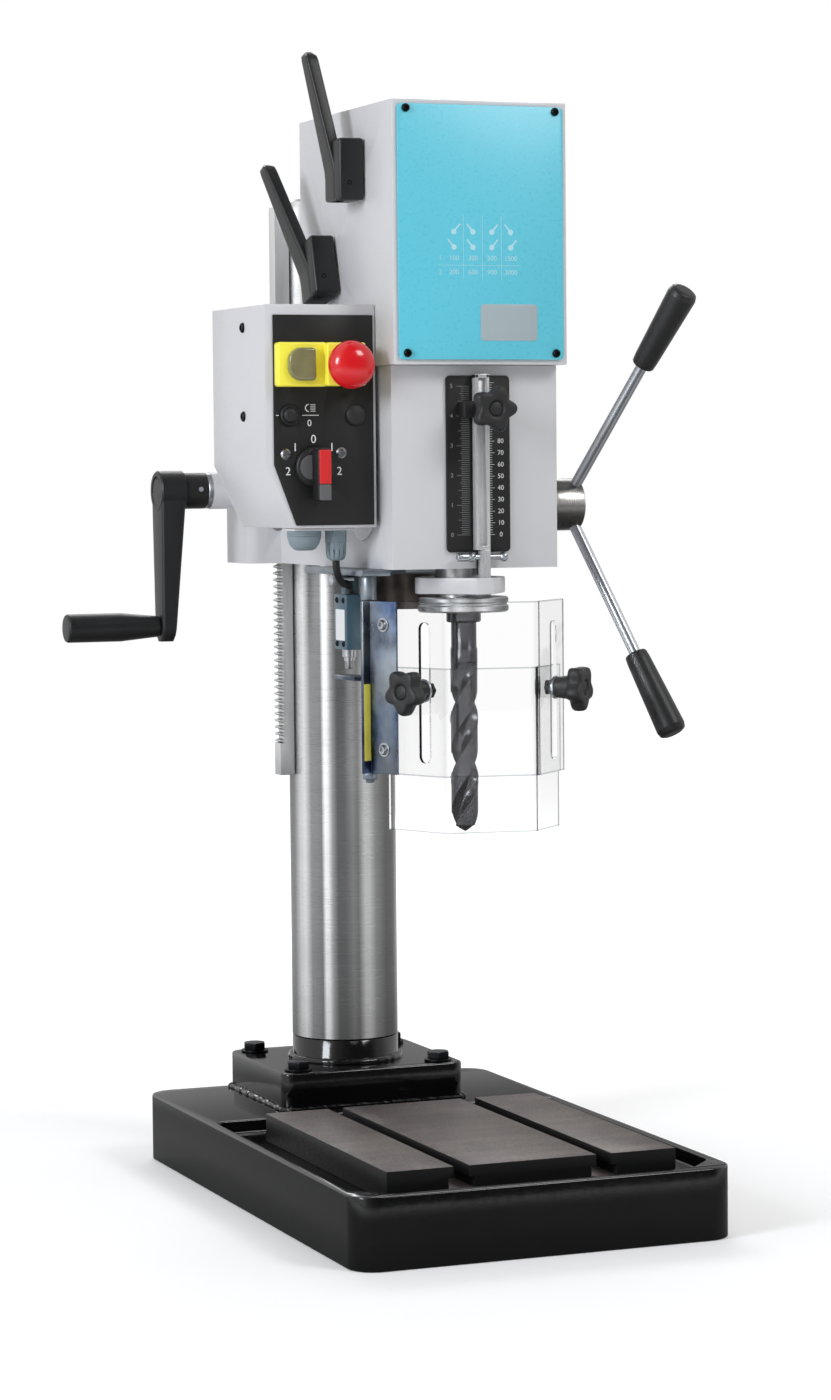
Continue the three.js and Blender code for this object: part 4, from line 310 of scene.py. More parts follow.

# Painted reflection and shade: facing from -1 to 1, and the grey that a studio's light leaves there, put into the
# colour
ACROSS = (math.cos(CAMERA_YAW), -math.sin(CAMERA_YAW), 0)
COLUMN_PAINTED_LIGHT = [(-1, 104), (-0.9, 148), (-0.8, 232), (-0.7, 252), (-0.58, 158), (-0.38, 128), (-0.32, 250),
                (-0.26, 253), (-0.18, 180), (-0.08, 122), (0.06, 132), (0.2, 170), (0.3, 152), (0.42, 246),
                (0.5, 244), (0.62, 170), (0.8, 116), (0.94, 106), (1, 170)]
DISC_PAINTED_LIGHT = [(-1, 90), (-0.8, 150), (-0.55, 236), (-0.3, 150), (-0.1, 230), (0.2, 160), (0.45, 240), (0.7, 150),
              (1, 90)]
HUB_PAINTED_LIGHT = [(-1, 70), (-0.7, 82), (-0.3, 96), (-0.05, 150), (0.08, 246), (0.3, 250), (0.42, 170), (0.6, 110),
             (0.85, 84), (1, 120)]
ROD_PAINTED_LIGHT = [(-1, 90), (-0.6, 120), (-0.35, 190), (-0.15, 240), (0, 150), (0.25, 168), (0.45, 245), (0.6, 200),
             (0.8, 150), (1, 100)]
# The rack's teeth get painted shade where they face down and painted light where they face front
RACK_PAINTED_LIGHT = [(-1, 96), (-0.6, 120), (-0.25, 190), (0, 220), (0.25, 236), (0.6, 170), (1, 190)]
# Tint, direction, painted light and shade bands, marks and their stretch; then roughness and bump
# Each of these metals carries painted reflection and shade in its base colour
LIGHT_PAINTED_METALS = {
    "turned_steel": ((1, 0.97, 0.94, 1), (0, 0, 1), HUB_PAINTED_LIGHT, 700, (1, 0.05, 0.05)),
    "disc_steel": ((0.97, 0.98, 1, 1), ACROSS, DISC_PAINTED_LIGHT, 700, (0.05, 0.05, 1)),
    "rod_steel": ((0.9, 0.94, 1, 1), (-0.5, -0.3, 0.81), ROD_PAINTED_LIGHT, 12, (1, 1, 1), (0.26, 0.32), 2e-8),
    "rack_steel": ((1, 1, 1, 1), (0, 0, 1), RACK_PAINTED_LIGHT, 200, (1, 1, 0.2), (0.35, 0.5)),
    "turned_column": ((1, 1, 1, 1), ACROSS, COLUMN_PAINTED_LIGHT, 700, (0.03, 0.03, 1)),
}


def make_materials():
    made = {"machined_table": machined_table(), "carrier_metal": carrier_metal(), "zinc_sheet": zinc_sheet()}
    for name, (color, *rest) in COATINGS.items():
        made[name] = coated(name, linear(*color), *rest)
    for name, (color, *rest) in METALS.items():
        made[name] = metal(name, linear(*color), *rest)
    for name, rest in LIGHT_PAINTED_METALS.items():
        made[name] = banded_metal(name, *rest)
    return made


make_camera()
look = make_materials()


# Mesh helpers, in millimetres
def rounded(points, radius, closed=True, steps=5):
    """Rounds the corners of a line; radius is one number, or one for each point."""
    result = []
    last = len(points) - 1
    for i, point in enumerate(points):
        reach = radius[i] if isinstance(radius, (list, tuple)) else radius
        corner = Vector(point)
        before = Vector(points[i - 1]) - corner
        after = Vector(points[0 if i == last else i + 1]) - corner
        straight = before.length < 1e-6 or after.length < 1e-6 or abs(before.angle(after, 0)) > math.pi - 0.01
        if reach <= 0 or straight or (not closed and i in (0, last)):
            result.append(tuple(corner))
            continue
        half = before.angle(after) / 2
        back = min(reach / math.tan(half), before.length * 0.49, after.length * 0.49)
        size = back * math.tan(half)
        inward = (before.normalized() + after.normalized()).normalized()
        centre = corner + inward * (size / math.sin(half))
        start = corner + before.normalized() * back - centre
        end = corner + after.normalized() * back - centre
        sweep = start.angle(end)
        for step in range(steps + 1):
            share = step / steps
            weights = math.sin((1 - share) * sweep) / math.sin(sweep), math.sin(share * sweep) / math.sin(sweep)
            result.append(tuple(centre + (start * weights[0] + end * weights[1])))
    return result


def rectangle(x0, x1, y0, y1):
    return [(x0, y0), (x1, y0), (x1, y1), (x0, y1)]


def arc(x, y, radius, degrees):
    """Points on a circle at these angles."""
    return [(x + radius * math.cos(angle), y + radius * math.sin(angle)) for angle in map(math.radians, degrees)]


def circle(x, y, radius, sides, turn=0):
    return arc(x, y, radius, (turn + 360 * i / sides for i in range(sides)))


# Takes a form that was made along Z to lie along X or Y; its plan becomes (y, z) or (x, z)
AXES = {
    "x": Matrix(((0, 0, 1, 0), (1, 0, 0, 0), (0, 1, 0, 0), (0, 0, 0, 1))),
    "y": Matrix(((1, 0, 0, 0), (0, 0, 1, 0), (0, 1, 0, 0), (0, 0, 0, 1))),
    "z": Matrix.Identity(4),
}


def moved(form, matrix=Matrix.Identity(4)):
    form.transform(matrix)
    bmesh.ops.recalc_face_normals(form, faces=form.faces)
    return form


def to_object(form, name="scratch"):
    mesh = bpy.data.meshes.new(name)
    form.to_mesh(mesh)
    form.free()
    return linked(name, mesh)


def evaluated(owner):
    """The form of a curve, or of a mesh with its modifiers; the object goes."""
    bpy.context.view_layer.update()
    mesh = bpy.data.meshes.new_from_object(owner.evaluated_get(bpy.context.evaluated_depsgraph_get()))
    form = bmesh.new()
    form.from_mesh(mesh)
    data = owner.data
    bpy.data.objects.remove(owner)
    (bpy.data.curves if isinstance(data, bpy.types.Curve) else bpy.data.meshes).remove(data)
    bpy.data.meshes.remove(mesh)
    return form


def lathe(profile, axis="z", at=(0, 0, 0), segments=72, soft=0.0):
    """A turned form: pairs of radius and place along the axis; soft rounds the profile's corners."""
    closed = profile[0] == profile[-1]
    line = profile[:-1] if closed else profile
    if soft:
        line = rounded(line, soft, closed, 3)
    form = bmesh.new()
    points = [form.verts.new((radius, 0, place)) for radius, place in line]
    for first, second in zip(points, points[1:] + (points[:1] if closed else [])):
        form.edges.new((first, second))
    bmesh.ops.spin(form, geom=form.verts[:] + form.edges[:], cent=(0, 0, 0), axis=(0, 0, 1),
                   angle=2 * math.pi, steps=segments, use_merge=True)
    bmesh.ops.remove_doubles(form, verts=form.verts, dist=1e-4)
    centre = Vector(at)
    centre["xyz".index(axis)] = 0
    return moved(form, Matrix.Translation(centre) @ AXES[axis])


def prism(outlines, low, high, axis="z", bevel=0.0, steps=2):
    """A plate from an outline and its holes, between two places along the axis."""
    data = bpy.data.curves.new("outline", "CURVE")
    data.dimensions = "2D"
    data.fill_mode = "BOTH"
    data.extrude = (high - low) / 2 - bevel
    data.bevel_depth = bevel
    data.bevel_resolution = steps
    data.offset = -bevel
    for outline in outlines:
        spline = data.splines.new("POLY")
        spline.points.add(len(outline) - 1)
        for point, (u, v) in zip(spline.points, outline):
            point.co = (u, v, 0, 1)
        spline.use_cyclic_u = True
    form = evaluated(linked("outline", data))
    bmesh.ops.remove_doubles(form, verts=form.verts, dist=1e-4)
    return moved(form, AXES[axis] @ Matrix.Translation((0, 0, (low + high) / 2)))


def block(x, y, z, bevel=0.0):
    form = bmesh.new()
    bmesh.ops.create_cube(form, size=1)
    for vert in form.verts:
        vert.co = Vector((x[vert.co.x > 0], y[vert.co.y > 0], z[vert.co.z > 0]))
    if bevel:
        bmesh.ops.bevel(form, geom=form.edges[:], offset=bevel, segments=3, profile=0.5, affect="EDGES")
    return moved(form)


def ball(at, radius, segments=32):
    form = bmesh.new()
    bmesh.ops.create_uvsphere(form, u_segments=segments, v_segments=segments // 2, radius=radius)
    return moved(form, Matrix.Translation(at))


def rod(start, end, radius, segments=32):
    """A straight round bar between two points."""
    run = Vector(end) - Vector(start)
    form = bmesh.new()
    bmesh.ops.create_cone(form, cap_ends=True, segments=segments, radius1=radius, radius2=radius, depth=run.length)
    turn = run.to_track_quat("Z", "Y").to_matrix().to_4x4()
    return moved(form, Matrix.Translation((Vector(start) + Vector(end)) / 2) @ turn)


def loft(rings, closed=False):
    """A skin over rings of points that all have the same count, with closed ends or as a loop."""
    form = bmesh.new()
    made = [[form.verts.new(point) for point in ring] for ring in rings]
    count = len(made[0])
    for first, second in zip(made, made[1:] + (made[:1] if closed else [])):
        for k in range(count):
            form.faces.new((first[k], first[(k + 1) % count], second[(k + 1) % count], second[k]))
    if not closed:
        form.faces.new(made[0][::-1])
        form.faces.new(made[-1])
    return moved(form)


def swept(points, radius, sides, closed=False):
    """A tube along a line of points; radius is one number, or one for each point."""
    line = [Vector(point) for point in points]
    rings = []
    side = None
    for i, point in enumerate(line):
        if closed:
            run = line[(i + 1) % len(line)] - line[i - 1]
        else:
            run = line[min(i + 1, len(line) - 1)] - line[max(i - 1, 0)]
        run.normalize()
        if side is None:
            side = run.orthogonal()
        side = (side - run * side.dot(run)).normalized()
        other = run.cross(side)
        size = radius[i] if isinstance(radius, list) else radius
        rings.append([point + (side * u + other * v) * size for u, v in circle(0, 0, 1, sides)])
    return loft(rings, closed)


def combined(first, others, operation):
    """Joins or cuts closed forms."""
    for other in others:
        base = to_object(first)
        tool = to_object(other)
        modifier = base.modifiers.new("solid", "BOOLEAN")
        modifier.object = tool
        modifier.operation = operation
        modifier.solver = "EXACT"
        first = evaluated(base)
        data = tool.data
        bpy.data.objects.remove(tool)
        bpy.data.meshes.remove(data)
    return first


def cut(first, *tools):
    return combined(first, tools, "DIFFERENCE")


def beside(*forms):
    """Separate forms kept as one mesh."""
    whole = bmesh.new()
    for form in forms:
        mesh = bpy.data.meshes.new("scratch")
        form.to_mesh(mesh)
        form.free()
        whole.from_mesh(mesh)
        bpy.data.meshes.remove(mesh)
    return whole


def shade(mesh, angle):
    """Smooth faces, with the edges sharper than the angle kept sharp."""
    form = bmesh.new()
    form.from_mesh(mesh)
    for face in form.faces:
        face.smooth = True
    for edge in form.edges:
        edge.smooth = len(edge.link_faces) == 2 and edge.calc_face_angle(0) < math.radians(angle)
    form.to_mesh(mesh)
    form.free()


def soften(owner, width, angle, segments, clamp=False):
    """Rounds the edges sharper than the angle."""
    modifier = owner.modifiers.new("edges", "BEVEL")
    modifier.width = width
    modifier.segments = segments
    modifier.limit_method = "ANGLE"
    modifier.angle_limit = math.radians(angle)
    modifier.use_clamp_overlap = clamp


def finish(owner, material):
    owner.data.materials.clear()
    owner.data.materials.append(look[material])


def piece(name, form, material, body, nodes=(), bevel=0.0, angle=32, segments=2):
    """A finished piece of the object, riding on a body of the frame."""
    made = to_object(form, name)
    if bevel:
        soften(made, bevel, angle, segments)
        made = to_object(evaluated(made), name)
    made.data.transform(Matrix.Scale(MM, 4))
    shade(made.data, angle)
    finish(made, material)
    made.name = name
    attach(made, body)
    if nodes:
        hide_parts(*nodes)


def smoothing_group():
    """Nodes that smooth a solid's faces and keep the edges sharper than 32 degrees."""
    group = bpy.data.node_groups.new("gentle_edges", "GeometryNodeTree")
    for way in ("INPUT", "OUTPUT"):
        group.interface.new_socket("Geometry", in_out=way, socket_type="NodeSocketGeometry")
    flow = Nodes(group)
    smooth = "GeometryNodeSetShadeSmooth"
    faces = flow.node(smooth, {"Geometry": flow.node("NodeGroupInput").outputs[0]})
    bend = flow.node("GeometryNodeInputMeshEdgeAngle").outputs["Unsigned Angle"]
    gently = flow.node("FunctionNodeCompare", {0: bend, 1: math.radians(32)}, data_type="FLOAT",
                       operation="LESS_THAN").outputs[0]
    edges = flow.node(smooth, {"Geometry": faces.outputs[0], "Shade Smooth": gently}, domain="EDGE")
    flow.node("NodeGroupOutput", {0: edges.outputs[0]})
    return group


gentle = smoothing_group()


def dress(material, bevel, *names):
    """Gives solids of the frame their finish, with softened edges."""
    for name in names:
        node = frame["nodes"][name]
        node.modifiers.new("weld", "WELD").merge_threshold = 0.00002
        flat = node.modifiers.new("flat", "DECIMATE")
        flat.decimate_type = "DISSOLVE"
        flat.angle_limit = math.radians(0.6)
        soften(node, bevel * MM, 35, 2, name == "head_casting")
        node.modifiers.new("gentle", "NODES").node_group = gentle
        finish(node, material)


# Studio: white surroundings, pale floor and three soft lamps
FLOOR_HALF = 6
WHITE = (1, 1, 1, 1)
MIRRORED_BANDS = [(0, 0.9), (0.08, 0.95), (0.14, 0.3), (0.2, 0.12), (0.26, 0.06), (0.35, 0.08), (0.42, 0.5),
                  (0.5, 0.85), (0.6, 0.7), (0.68, 0.25), (0.76, 0.8), (1, 0.9)]


def make_world():
    """White to the eye, softer as a light, with darker bands for metal to mirror."""
    world = bpy.data.worlds.new("studio")
    bpy.context.scene.world = world
    world.use_nodes = True
    sky = Nodes(world.node_tree)
    sky.tree.nodes.clear()
    place = sky.node("ShaderNodeTexCoord").outputs["Generated"]
    turn = sky.node("ShaderNodeTexGradient", {"Vector": place}, gradient_type="RADIAL").outputs["Fac"]
    bands = sky.ramp(turn, [(share, (level, level, level, 1)) for share, level in MIRRORED_BANDS], "EASE")
    soft, mirrored, white = (sky.node("ShaderNodeBackground", {"Color": color, "Strength": strength}).outputs[0]
                             for color, strength in ((WHITE, 0.46), (bands, 1), (WHITE, 1)))
    path = sky.node("ShaderNodeLightPath").outputs
    light = sky.node("ShaderNodeMixShader", {0: path["Is Glossy Ray"], 1: soft, 2: mirrored}).outputs[0]
    seen = sky.math("MAXIMUM", path["Is Camera Ray"], path["Is Transmission Ray"])
    whole = sky.node("ShaderNodeMixShader", {0: seen, 1: light, 2: white}).outputs[0]
    sky.node("ShaderNodeOutputWorld", {"Surface": whole})


def make_floor():
    """A pale floor that keeps the object's shadow, meets the white without a line and mirrors darker."""
    shader = Shader("floor")
    pale = shader.mixed(shader.noise(30), (0.86, 0.86, 0.865, 1), (0.88, 0.88, 0.885, 1))
    path = shader.node("ShaderNodeLightPath").outputs
    mirrored = shader.math("SUBTRACT", path["Is Glossy Ray"], path["Is Transmission Ray"], use_clamp=True)
    away = shader.vector_math("LENGTH", shader.node("ShaderNodeNewGeometry").outputs["Position"])
    mirror = shader.mixed(shader.ranged(away, 0, 1, 0.7, 1.8), (0.22, 0.219, 0.216, 1), (0.95, 0.95, 0.96, 1))
    seen = shader.math("MAXIMUM", path["Is Camera Ray"], path["Is Transmission Ray"])
    glow = shader.math("MULTIPLY", seen, shader.ranged(away, 0.16, 0.66, 0.35, 2.4))
    shader.set(Base_Color=shader.mixed(mirrored, pale, mirror), Roughness=0.9, Specular_IOR_Level=0.1,
               Emission_Color=WHITE, Emission_Strength=glow)
    form = bmesh.new()
    bmesh.ops.create_grid(form, x_segments=1, y_segments=1, size=FLOOR_HALF)
    floor = to_object(form, "floor")
    floor.location.z = -0.0002
    floor.data.materials.append(shader.material)


def make_lamp(name, at, size, power, color=(1, 1, 1)):
    data = bpy.data.lights.new(name, "AREA")
    data.shape = "RECTANGLE"
    data.size, data.size_y = size
    data.energy = power
    data.color = color
    lamp = linked(name, data)
    lamp.location = at
    lamp.rotation_euler = (Vector((0, 0, 0.5)) - Vector(at)).to_track_quat("-Z", "Y").to_euler()


make_world()
make_floor()
make_lamp("key", (1.5, -2.3, 2.6), (1.0, 1.0), 34)
make_lamp("fill", (-3.0, -1.2, 1.6), (0.9, 1.2), 56, (0.92, 0.96, 1))
make_lamp("back", (0.6, 2.4, 2.4), (2.0, 1.0), 34)


# Marks and small fastenings that only the looks need
PRINT = 0.15


def lettered(text, size, x, face, z):
    """Raised plain numbers on a face towards the front."""
    data = bpy.data.curves.new("text", "FONT")
    data.body = text
    data.size = size
    data.align_x = data.align_y = "CENTER"
    data.extrude = PRINT / 2
    data.resolution_u = 4
    return moved(evaluated(linked("text", data)), Matrix.Translation((x, face - 0.08, z)) @ AXES["y"])


def bar_mark(x0, x1, face, z0, z1):
    """A raised printed bar on a face towards the front."""
    return block((x0, x1), (face - PRINT, face), (z0, z1))


def socket_screw(at, radius, height, axis="y", out=-1):
    """A domed screw head with a hexagon socket, standing out along the axis."""
    base = at["xyz".index(axis)]
    shares = ((0, 0.45), (0.5, 0.45), (0.5, 1), (0.72, 0.96), (0.93, 0.6), (1, 0.2), (1, 0), (0, 0))
    return lathe([(radius * r, base + out * height * h) for r, h in shares], axis, at, 48)


def cross_screw(x, y, z, radius):
    """A flat cross-head screw in a face towards the front."""
    high = y - radius * 0.35
    head = lathe([(0, high), (radius * 0.7, high), (radius, y - radius * 0.12), (radius, y), (0, y)], "y", (x, y, z),
                 40)
    narrow, wide = radius * 0.14, radius * 0.62
    return cut(head, *(block((x - u, x + u), (high - radius, high + radius * 0.22), (z - v, z + v))
                       for u, v in ((narrow, wide), (wide, narrow))))


def hex_head(at, radius, low, high, axis="z"):
    """A hexagon whose corners are turned down on its outer face."""
    plan = [at[i] for i in range(3) if "xyz"[i] != axis]
    body = prism([circle(*plan, radius, 6, 15)], min(low, high), max(low, high), axis)
    out = 1 if high > low else -1
    cone = lathe([(0, low - out), (radius + 2, low - out), (radius + 2, high - out * 1.6),
                  (radius * 0.87, high + out * 0.01), (0, high + out * 0.01)], axis, at, 72)
    return combined(body, [cone], "INTERSECT")


def placed(x, y, z, degrees=0, axis="Z"):
    """A turn about an axis through the origin, then a move."""
    return Matrix.Translation((x, y, z)) @ Matrix.Rotation(math.radians(degrees), 4, axis)


# Base, table, column and rack
COLUMN = (0, 200, 0)


def make_base():
    half = 164.5                  # of the trough's width
    body = prism([rounded(rectangle(-172.5, 172.5, -285, 285), 24, steps=12)], 0, 62)
    trough = prism([rounded([(30 - half, -274), (half - 30, -274), (half, -244), (half, 99), (-half, 99),
                             (-half, -244)], 10, steps=6)], 50, 66)
    pockets = [block(sorted((side * 7, side * 156.5)), (low, low + 124), (-2, 36))
               for low in (-269, -131, 7, 145) for side in (-1, 1)]
    corners = [(x, y) for x in (-148, 148) for y in (-261, 268)]
    bosses = [rod((x, y, 0), (x, y, 40), 16, 40) for x, y in corners]
    holes = [rod((x, y, -2), (x, y, 70), 6, 40) for x, y in corners]
    body = cut(combined(cut(body, trough, *pockets), bosses, "UNION"), *holes)
    piece("base_body", body, "black_gloss", "frame", ["base_casting"], 1.6, 40, 3)
    slot = [(7, 75), (7, 65), (11.5, 65), (11.5, 56)]
    slot += [(-u, v) for u, v in reversed(slot)]
    outline = [(-132, 50), (132, 50), (132, 75), *((centre + u, v) for centre in (65, -65) for u, v in slot),
               (-132, 75)]
    piece("base_table", prism([outline], -249, 53, "y"), "machined_table", "frame", ["base_casting"], 0.5, 40)


def make_column():
    tube = lathe([(0, 120.3), (50, 120.3), (50, 902.6), (47.6, 905), (0, 905)], at=COLUMN, segments=160)
    piece("column_tube", tube, "turned_column", "frame", ["column"])
    plate = prism([rounded(rectangle(-90, 90, 120, 280), 12, steps=8)], 62.3, 97)
    collar = lathe([(0, 62.3), (50, 62.3), (50, 118.4), (48.6, 119.7), (0, 119.7)], at=COLUMN, segments=120)
    piece("flange_body", beside(plate, collar), "black_gloss", "frame", ["column_flange"], 1.8,
          angle=50, segments=3)
    random.seed(4)
    line = [(*point, 98.6) for point in circle(*COLUMN[:2], 51.2, 96)]
    sizes = [3.6 + random.uniform(-0.45, 0.5) for _ in line]
    piece("flange_weld", swept(line, sizes, 16, True), "black_gloss", "frame")
    corners = rounded(rectangle(-91, 91, 119, 281), 12, steps=8)
    bead = []
    for first, second in zip(corners, corners[1:] + corners[:1]):
        run = Vector(second) - Vector(first)
        count = max(1, round(run.length / 3))
        bead += [(*(Vector(first) + run * (k / count)), 63.6) for k in range(count)]
    widths = [2.6 + random.uniform(-0.8, 0.8) for _ in bead]
    piece("foot_weld", swept(bead, widths, 10, True), "black_gloss", "frame")
    for i, (x, y) in enumerate([(x, y) for x in (-70, 70) for y in (138, 262)], 1):
        washer = lathe([(0, 97.3), (13, 97.3), (13, 99.1), (0, 99.1)], at=(x, y, 0), segments=48)
        piece(f"flange_bolt_head_{i}", beside(washer, hex_head((x, y, 0), 11, 99.1, 106)), "bolt_black", "frame",
              [f"flange_bolt_{i}"], 0.3, 40)
    dress("rack_steel", 0.35, "lift_rack")
    for name, z in (("rack_screw_top", 891), ("rack_screw_low", 381)):
        piece(name, socket_screw((-58.6, 200, z), 4.6, 3, "x"), "bolt_black", "frame")


# Castings and boxes that keep their solids
def make_housings():
    dress("grey_paint", 0.7, "head_casting")
    dress("grey_paint", 1.2, "gearbox_housing")
    dress("grey_paint", 1.0, "control_box", "quill_yoke")
    dress("turquoise", 0.8, "front_panel")
    dress("black_satin", 0.7, "face_panel", "scale_plate")
    dress("carrier_metal", 0.8, "guard_carrier")
    dress("bolt_black", 0.4, "clamp_bolt", "worm_shaft", "motor_stator")
    dress("turned_steel", 0.4, "feed_bush")
    dress("grey_paint", 0.4, "spring_case")
    dress("satin_steel", 0.3, "lift_gears", "layshaft", "sliding_gears", "idler_gear", "motor_rotor",
          "spindle_sleeve", "clutch_collar", "feed_shaft", "spindle_bearing", "switch_plunger")
    dress("cast_iron", 0.5, "bearing_plate", "upper_fork", "lower_fork")
    dress("black_plastic", 0.4, "switch_block")


# Selector levers: a foot block and a blade that leans out to its tip
LEVER_FOOT = -26
LEVER_SCREW = (-95, 0, -11)


def squarish(value):
    """Turns a circle's coordinate into that of a rounded square."""
    return math.copysign(abs(value) ** 0.36, value)


def lever_blade(lean, length):
    rings = []
    for step in range(37):
        share = step / 36
        z = LEVER_FOOT + (length - LEVER_FOOT) * share
        up = max(0, z) / length
        down = min(0, z) / LEVER_FOOT
        tip = max(0, (share - 0.955) / 0.045)
        shrink = math.sqrt(max(0.12, 1 - 0.9 * tip ** 2)) / 2
        thick = 11.4 * shrink
        width = (26.5 - 11 * up - 4 * down) * shrink
        x = -99.2 - lean * up
        y = 8.9 + 25.1 * up - 3 * down
        rings.append([(x + squarish(u) * thick, y + squarish(v) * width, z) for u, v in circle(0, 0, 1, 56)])
    return loft(rings)


def make_lever(name, node, body, y, z, turn, lean, length):
    place = placed(0, y, z, turn, "X")
    foot = block((-104, -81.5), (-16, 22), (LEVER_FOOT, 27), 2.6)
    hole = lathe([(0, -17.5), (2.6, -17.5), (2.6, -12), (0, -12)], "y", LEVER_SCREW, 32)
    whole = beside(cut(foot, hole), lever_blade(lean, length))
    piece(name, moved(whole, place), "black_plastic", body, [node], angle=40)
    screw = lathe([(0, -15.2), (1, -15.2), (1, -16.1), (2.1, -16.1), (2.1, -14), (0, -14)], "y", LEVER_SCREW, 32)
    piece(name + "_screw", moved(screw, place), "bolt_black", body)


# Crank: hub, arm, collar and turning grip
CRANK_Y, CRANK_Z = 175, 635.5
CRANK_THROW = 124
GRIP_LEFT = -276.6


def make_crank():
    at = (0, CRANK_Y, CRANK_Z)
    hub = lathe([(0, -188.1), (11.6, -188.1), (12.2, -187.3), (13.2, -187.3), (13.8, -188.6), (17.2, -188.6),
                 (18.5, -187.3), (18.5, -164.8), (17.3, -163.6), (0, -163.6)], "x", at, 96)
    rings = []
    for step in range(25):
        share = step / 24
        tip = max(0, (share - 0.9) / 0.1)
        half = (16.5 - 4 * share) * math.sqrt(max(0.05, 1 - 0.85 * tip ** 2))
        outline = rectangle(-188.2 + 0.6 * share, -164.2 - 10.5 * share, CRANK_Y - half, CRANK_Y + half)
        rings.append([(*point, CRANK_Z - 2 - 136 * share) for point in rounded(outline, 3, steps=4)])
    piece("crank_arm", beside(hub, loft(rings)), "black_plastic", "lift_crank", ["crank"], angle=40)
    collar = lathe([(0, -163.3), (16.5, -163.3), (16.5, -142.6), (0, -142.6)], "x", at, 96, 0.8)
    piece("crank_collar", collar, "black_satin", "lift_crank", ["worm_shaft"])
    ring = lathe([(0, -142.6), (15.9, -142.6), (16.4, -142), (16.4, -138.3), (0, -138.3)], "x", at, 96)
    piece("crank_ring", ring, "rod_steel", "lift_crank")
    screw = moved(lathe([(0, -16), (2.2, -16), (2.2, -17.4), (0, -17.4)], segments=24),
                  placed(-150.8, CRANK_Y, CRANK_Z, -95, "X"))
    piece("crank_set_screw", screw, "rod_steel", "lift_crank")
    profile = ((0, 0), (12, 0), (13, 2), (13, 52), (12.6, 56), (9.9, 84), (9.6, 88), (0, 88))
    grip = lathe([(radius, GRIP_LEFT + along) for radius, along in profile], "x",
                 (0, CRANK_Y, CRANK_Z - CRANK_THROW), 96, 1.2)
    piece("crank_handle_grip", grip, "black_plastic", "crank_handle", ["crank_grip"], angle=50)


# Feed capstan: turned hub with three spokes
FEED = Vector((114, -65, 621))
SPOKE_LEAN = math.radians(15)


def make_capstan():
    hub = lathe([(0, 97), (23, 97), (23, 125), (0, 125)], "x", FEED, 120, 1.4)
    neck = lathe([(0, 82), (15, 82), (15, 97.5), (0, 97.5)], "x", FEED, 96)
    centre = lathe([(0, 125.2), (5.5, 125.2), (5.5, 124.6), (0, 124.6)], "x", FEED, 48)
    piece("capstan_boss", beside(hub, neck, centre), "turned_steel", "feed_capstan",
          ["capstan_hub"], angle=40)
    for i in (1, 2, 3):
        angle = math.radians(4 + i * 120)
        out = math.cos(SPOKE_LEAN)
        run = Vector((math.sin(SPOKE_LEAN), math.cos(angle) * out, math.sin(angle) * out))
        place = Matrix.Translation(FEED) @ Vector((0, 0, 1)).rotation_difference(run).to_matrix().to_4x4()
        bar = lathe([(0, 12), (5, 12), (5, 152), (0, 152)], segments=48)
        piece(f"spoke_bar_{i}", moved(bar, place), "rod_steel", "feed_capstan", [f"capstan_handle_{i}"])
        grip = lathe([(0, 150), (8.6, 150), (10, 151.6), (10.6, 158), (12.8, 218), (13, 224), (11.6, 228.4), (8, 230),
                      (0, 230)], soft=2)
        piece(f"spoke_grip_{i}", moved(grip, place), "black_plastic", "feed_capstan",
              [f"capstan_handle_{i}"], angle=60)


# Hand knobs with five soft lobes
def star_form():
    """A star knob that stands on the XY plane, its neck below the star."""
    rings = []
    for z, scale in ((14, 0.86), (14.6, 0.94), (16, 1), (20, 1.02), (24.2, 1), (26.2, 0.95), (27, 0.86),
                     (27.05, 0.5), (26.2, 0.4), (24.8, 0.36)):
        lobe = 0.14 if scale > 0.7 else 0
        ring = []
        for k in range(100):
            angle = 2 * math.pi * k / 100
            radius = 20 * scale * (0.86 + lobe * math.cos(5 * angle))
            ring.append((radius * math.cos(angle), radius * math.sin(angle), z))
        rings.append(ring)
    neck = lathe([(0, 0), (9, 0), (9.6, 6), (11, 14.6), (0, 14.6)], segments=64)
    plug = lathe([(0, 24), (6.1, 24), (6.1, 25.3), (5.4, 25.9), (0, 26)], segments=64)
    return beside(loft(rings), neck, plug)


# Depth gauge: plate with its scales, channel bar, stop block and knob, toggle pin
PLATE_FRONT = -136.8
SCALE_ZERO = 596.9
INCH = 25.4
BAR_BACK, BAR_FRONT = -139, -147
PIN_Y, PIN_Z = -143, 578


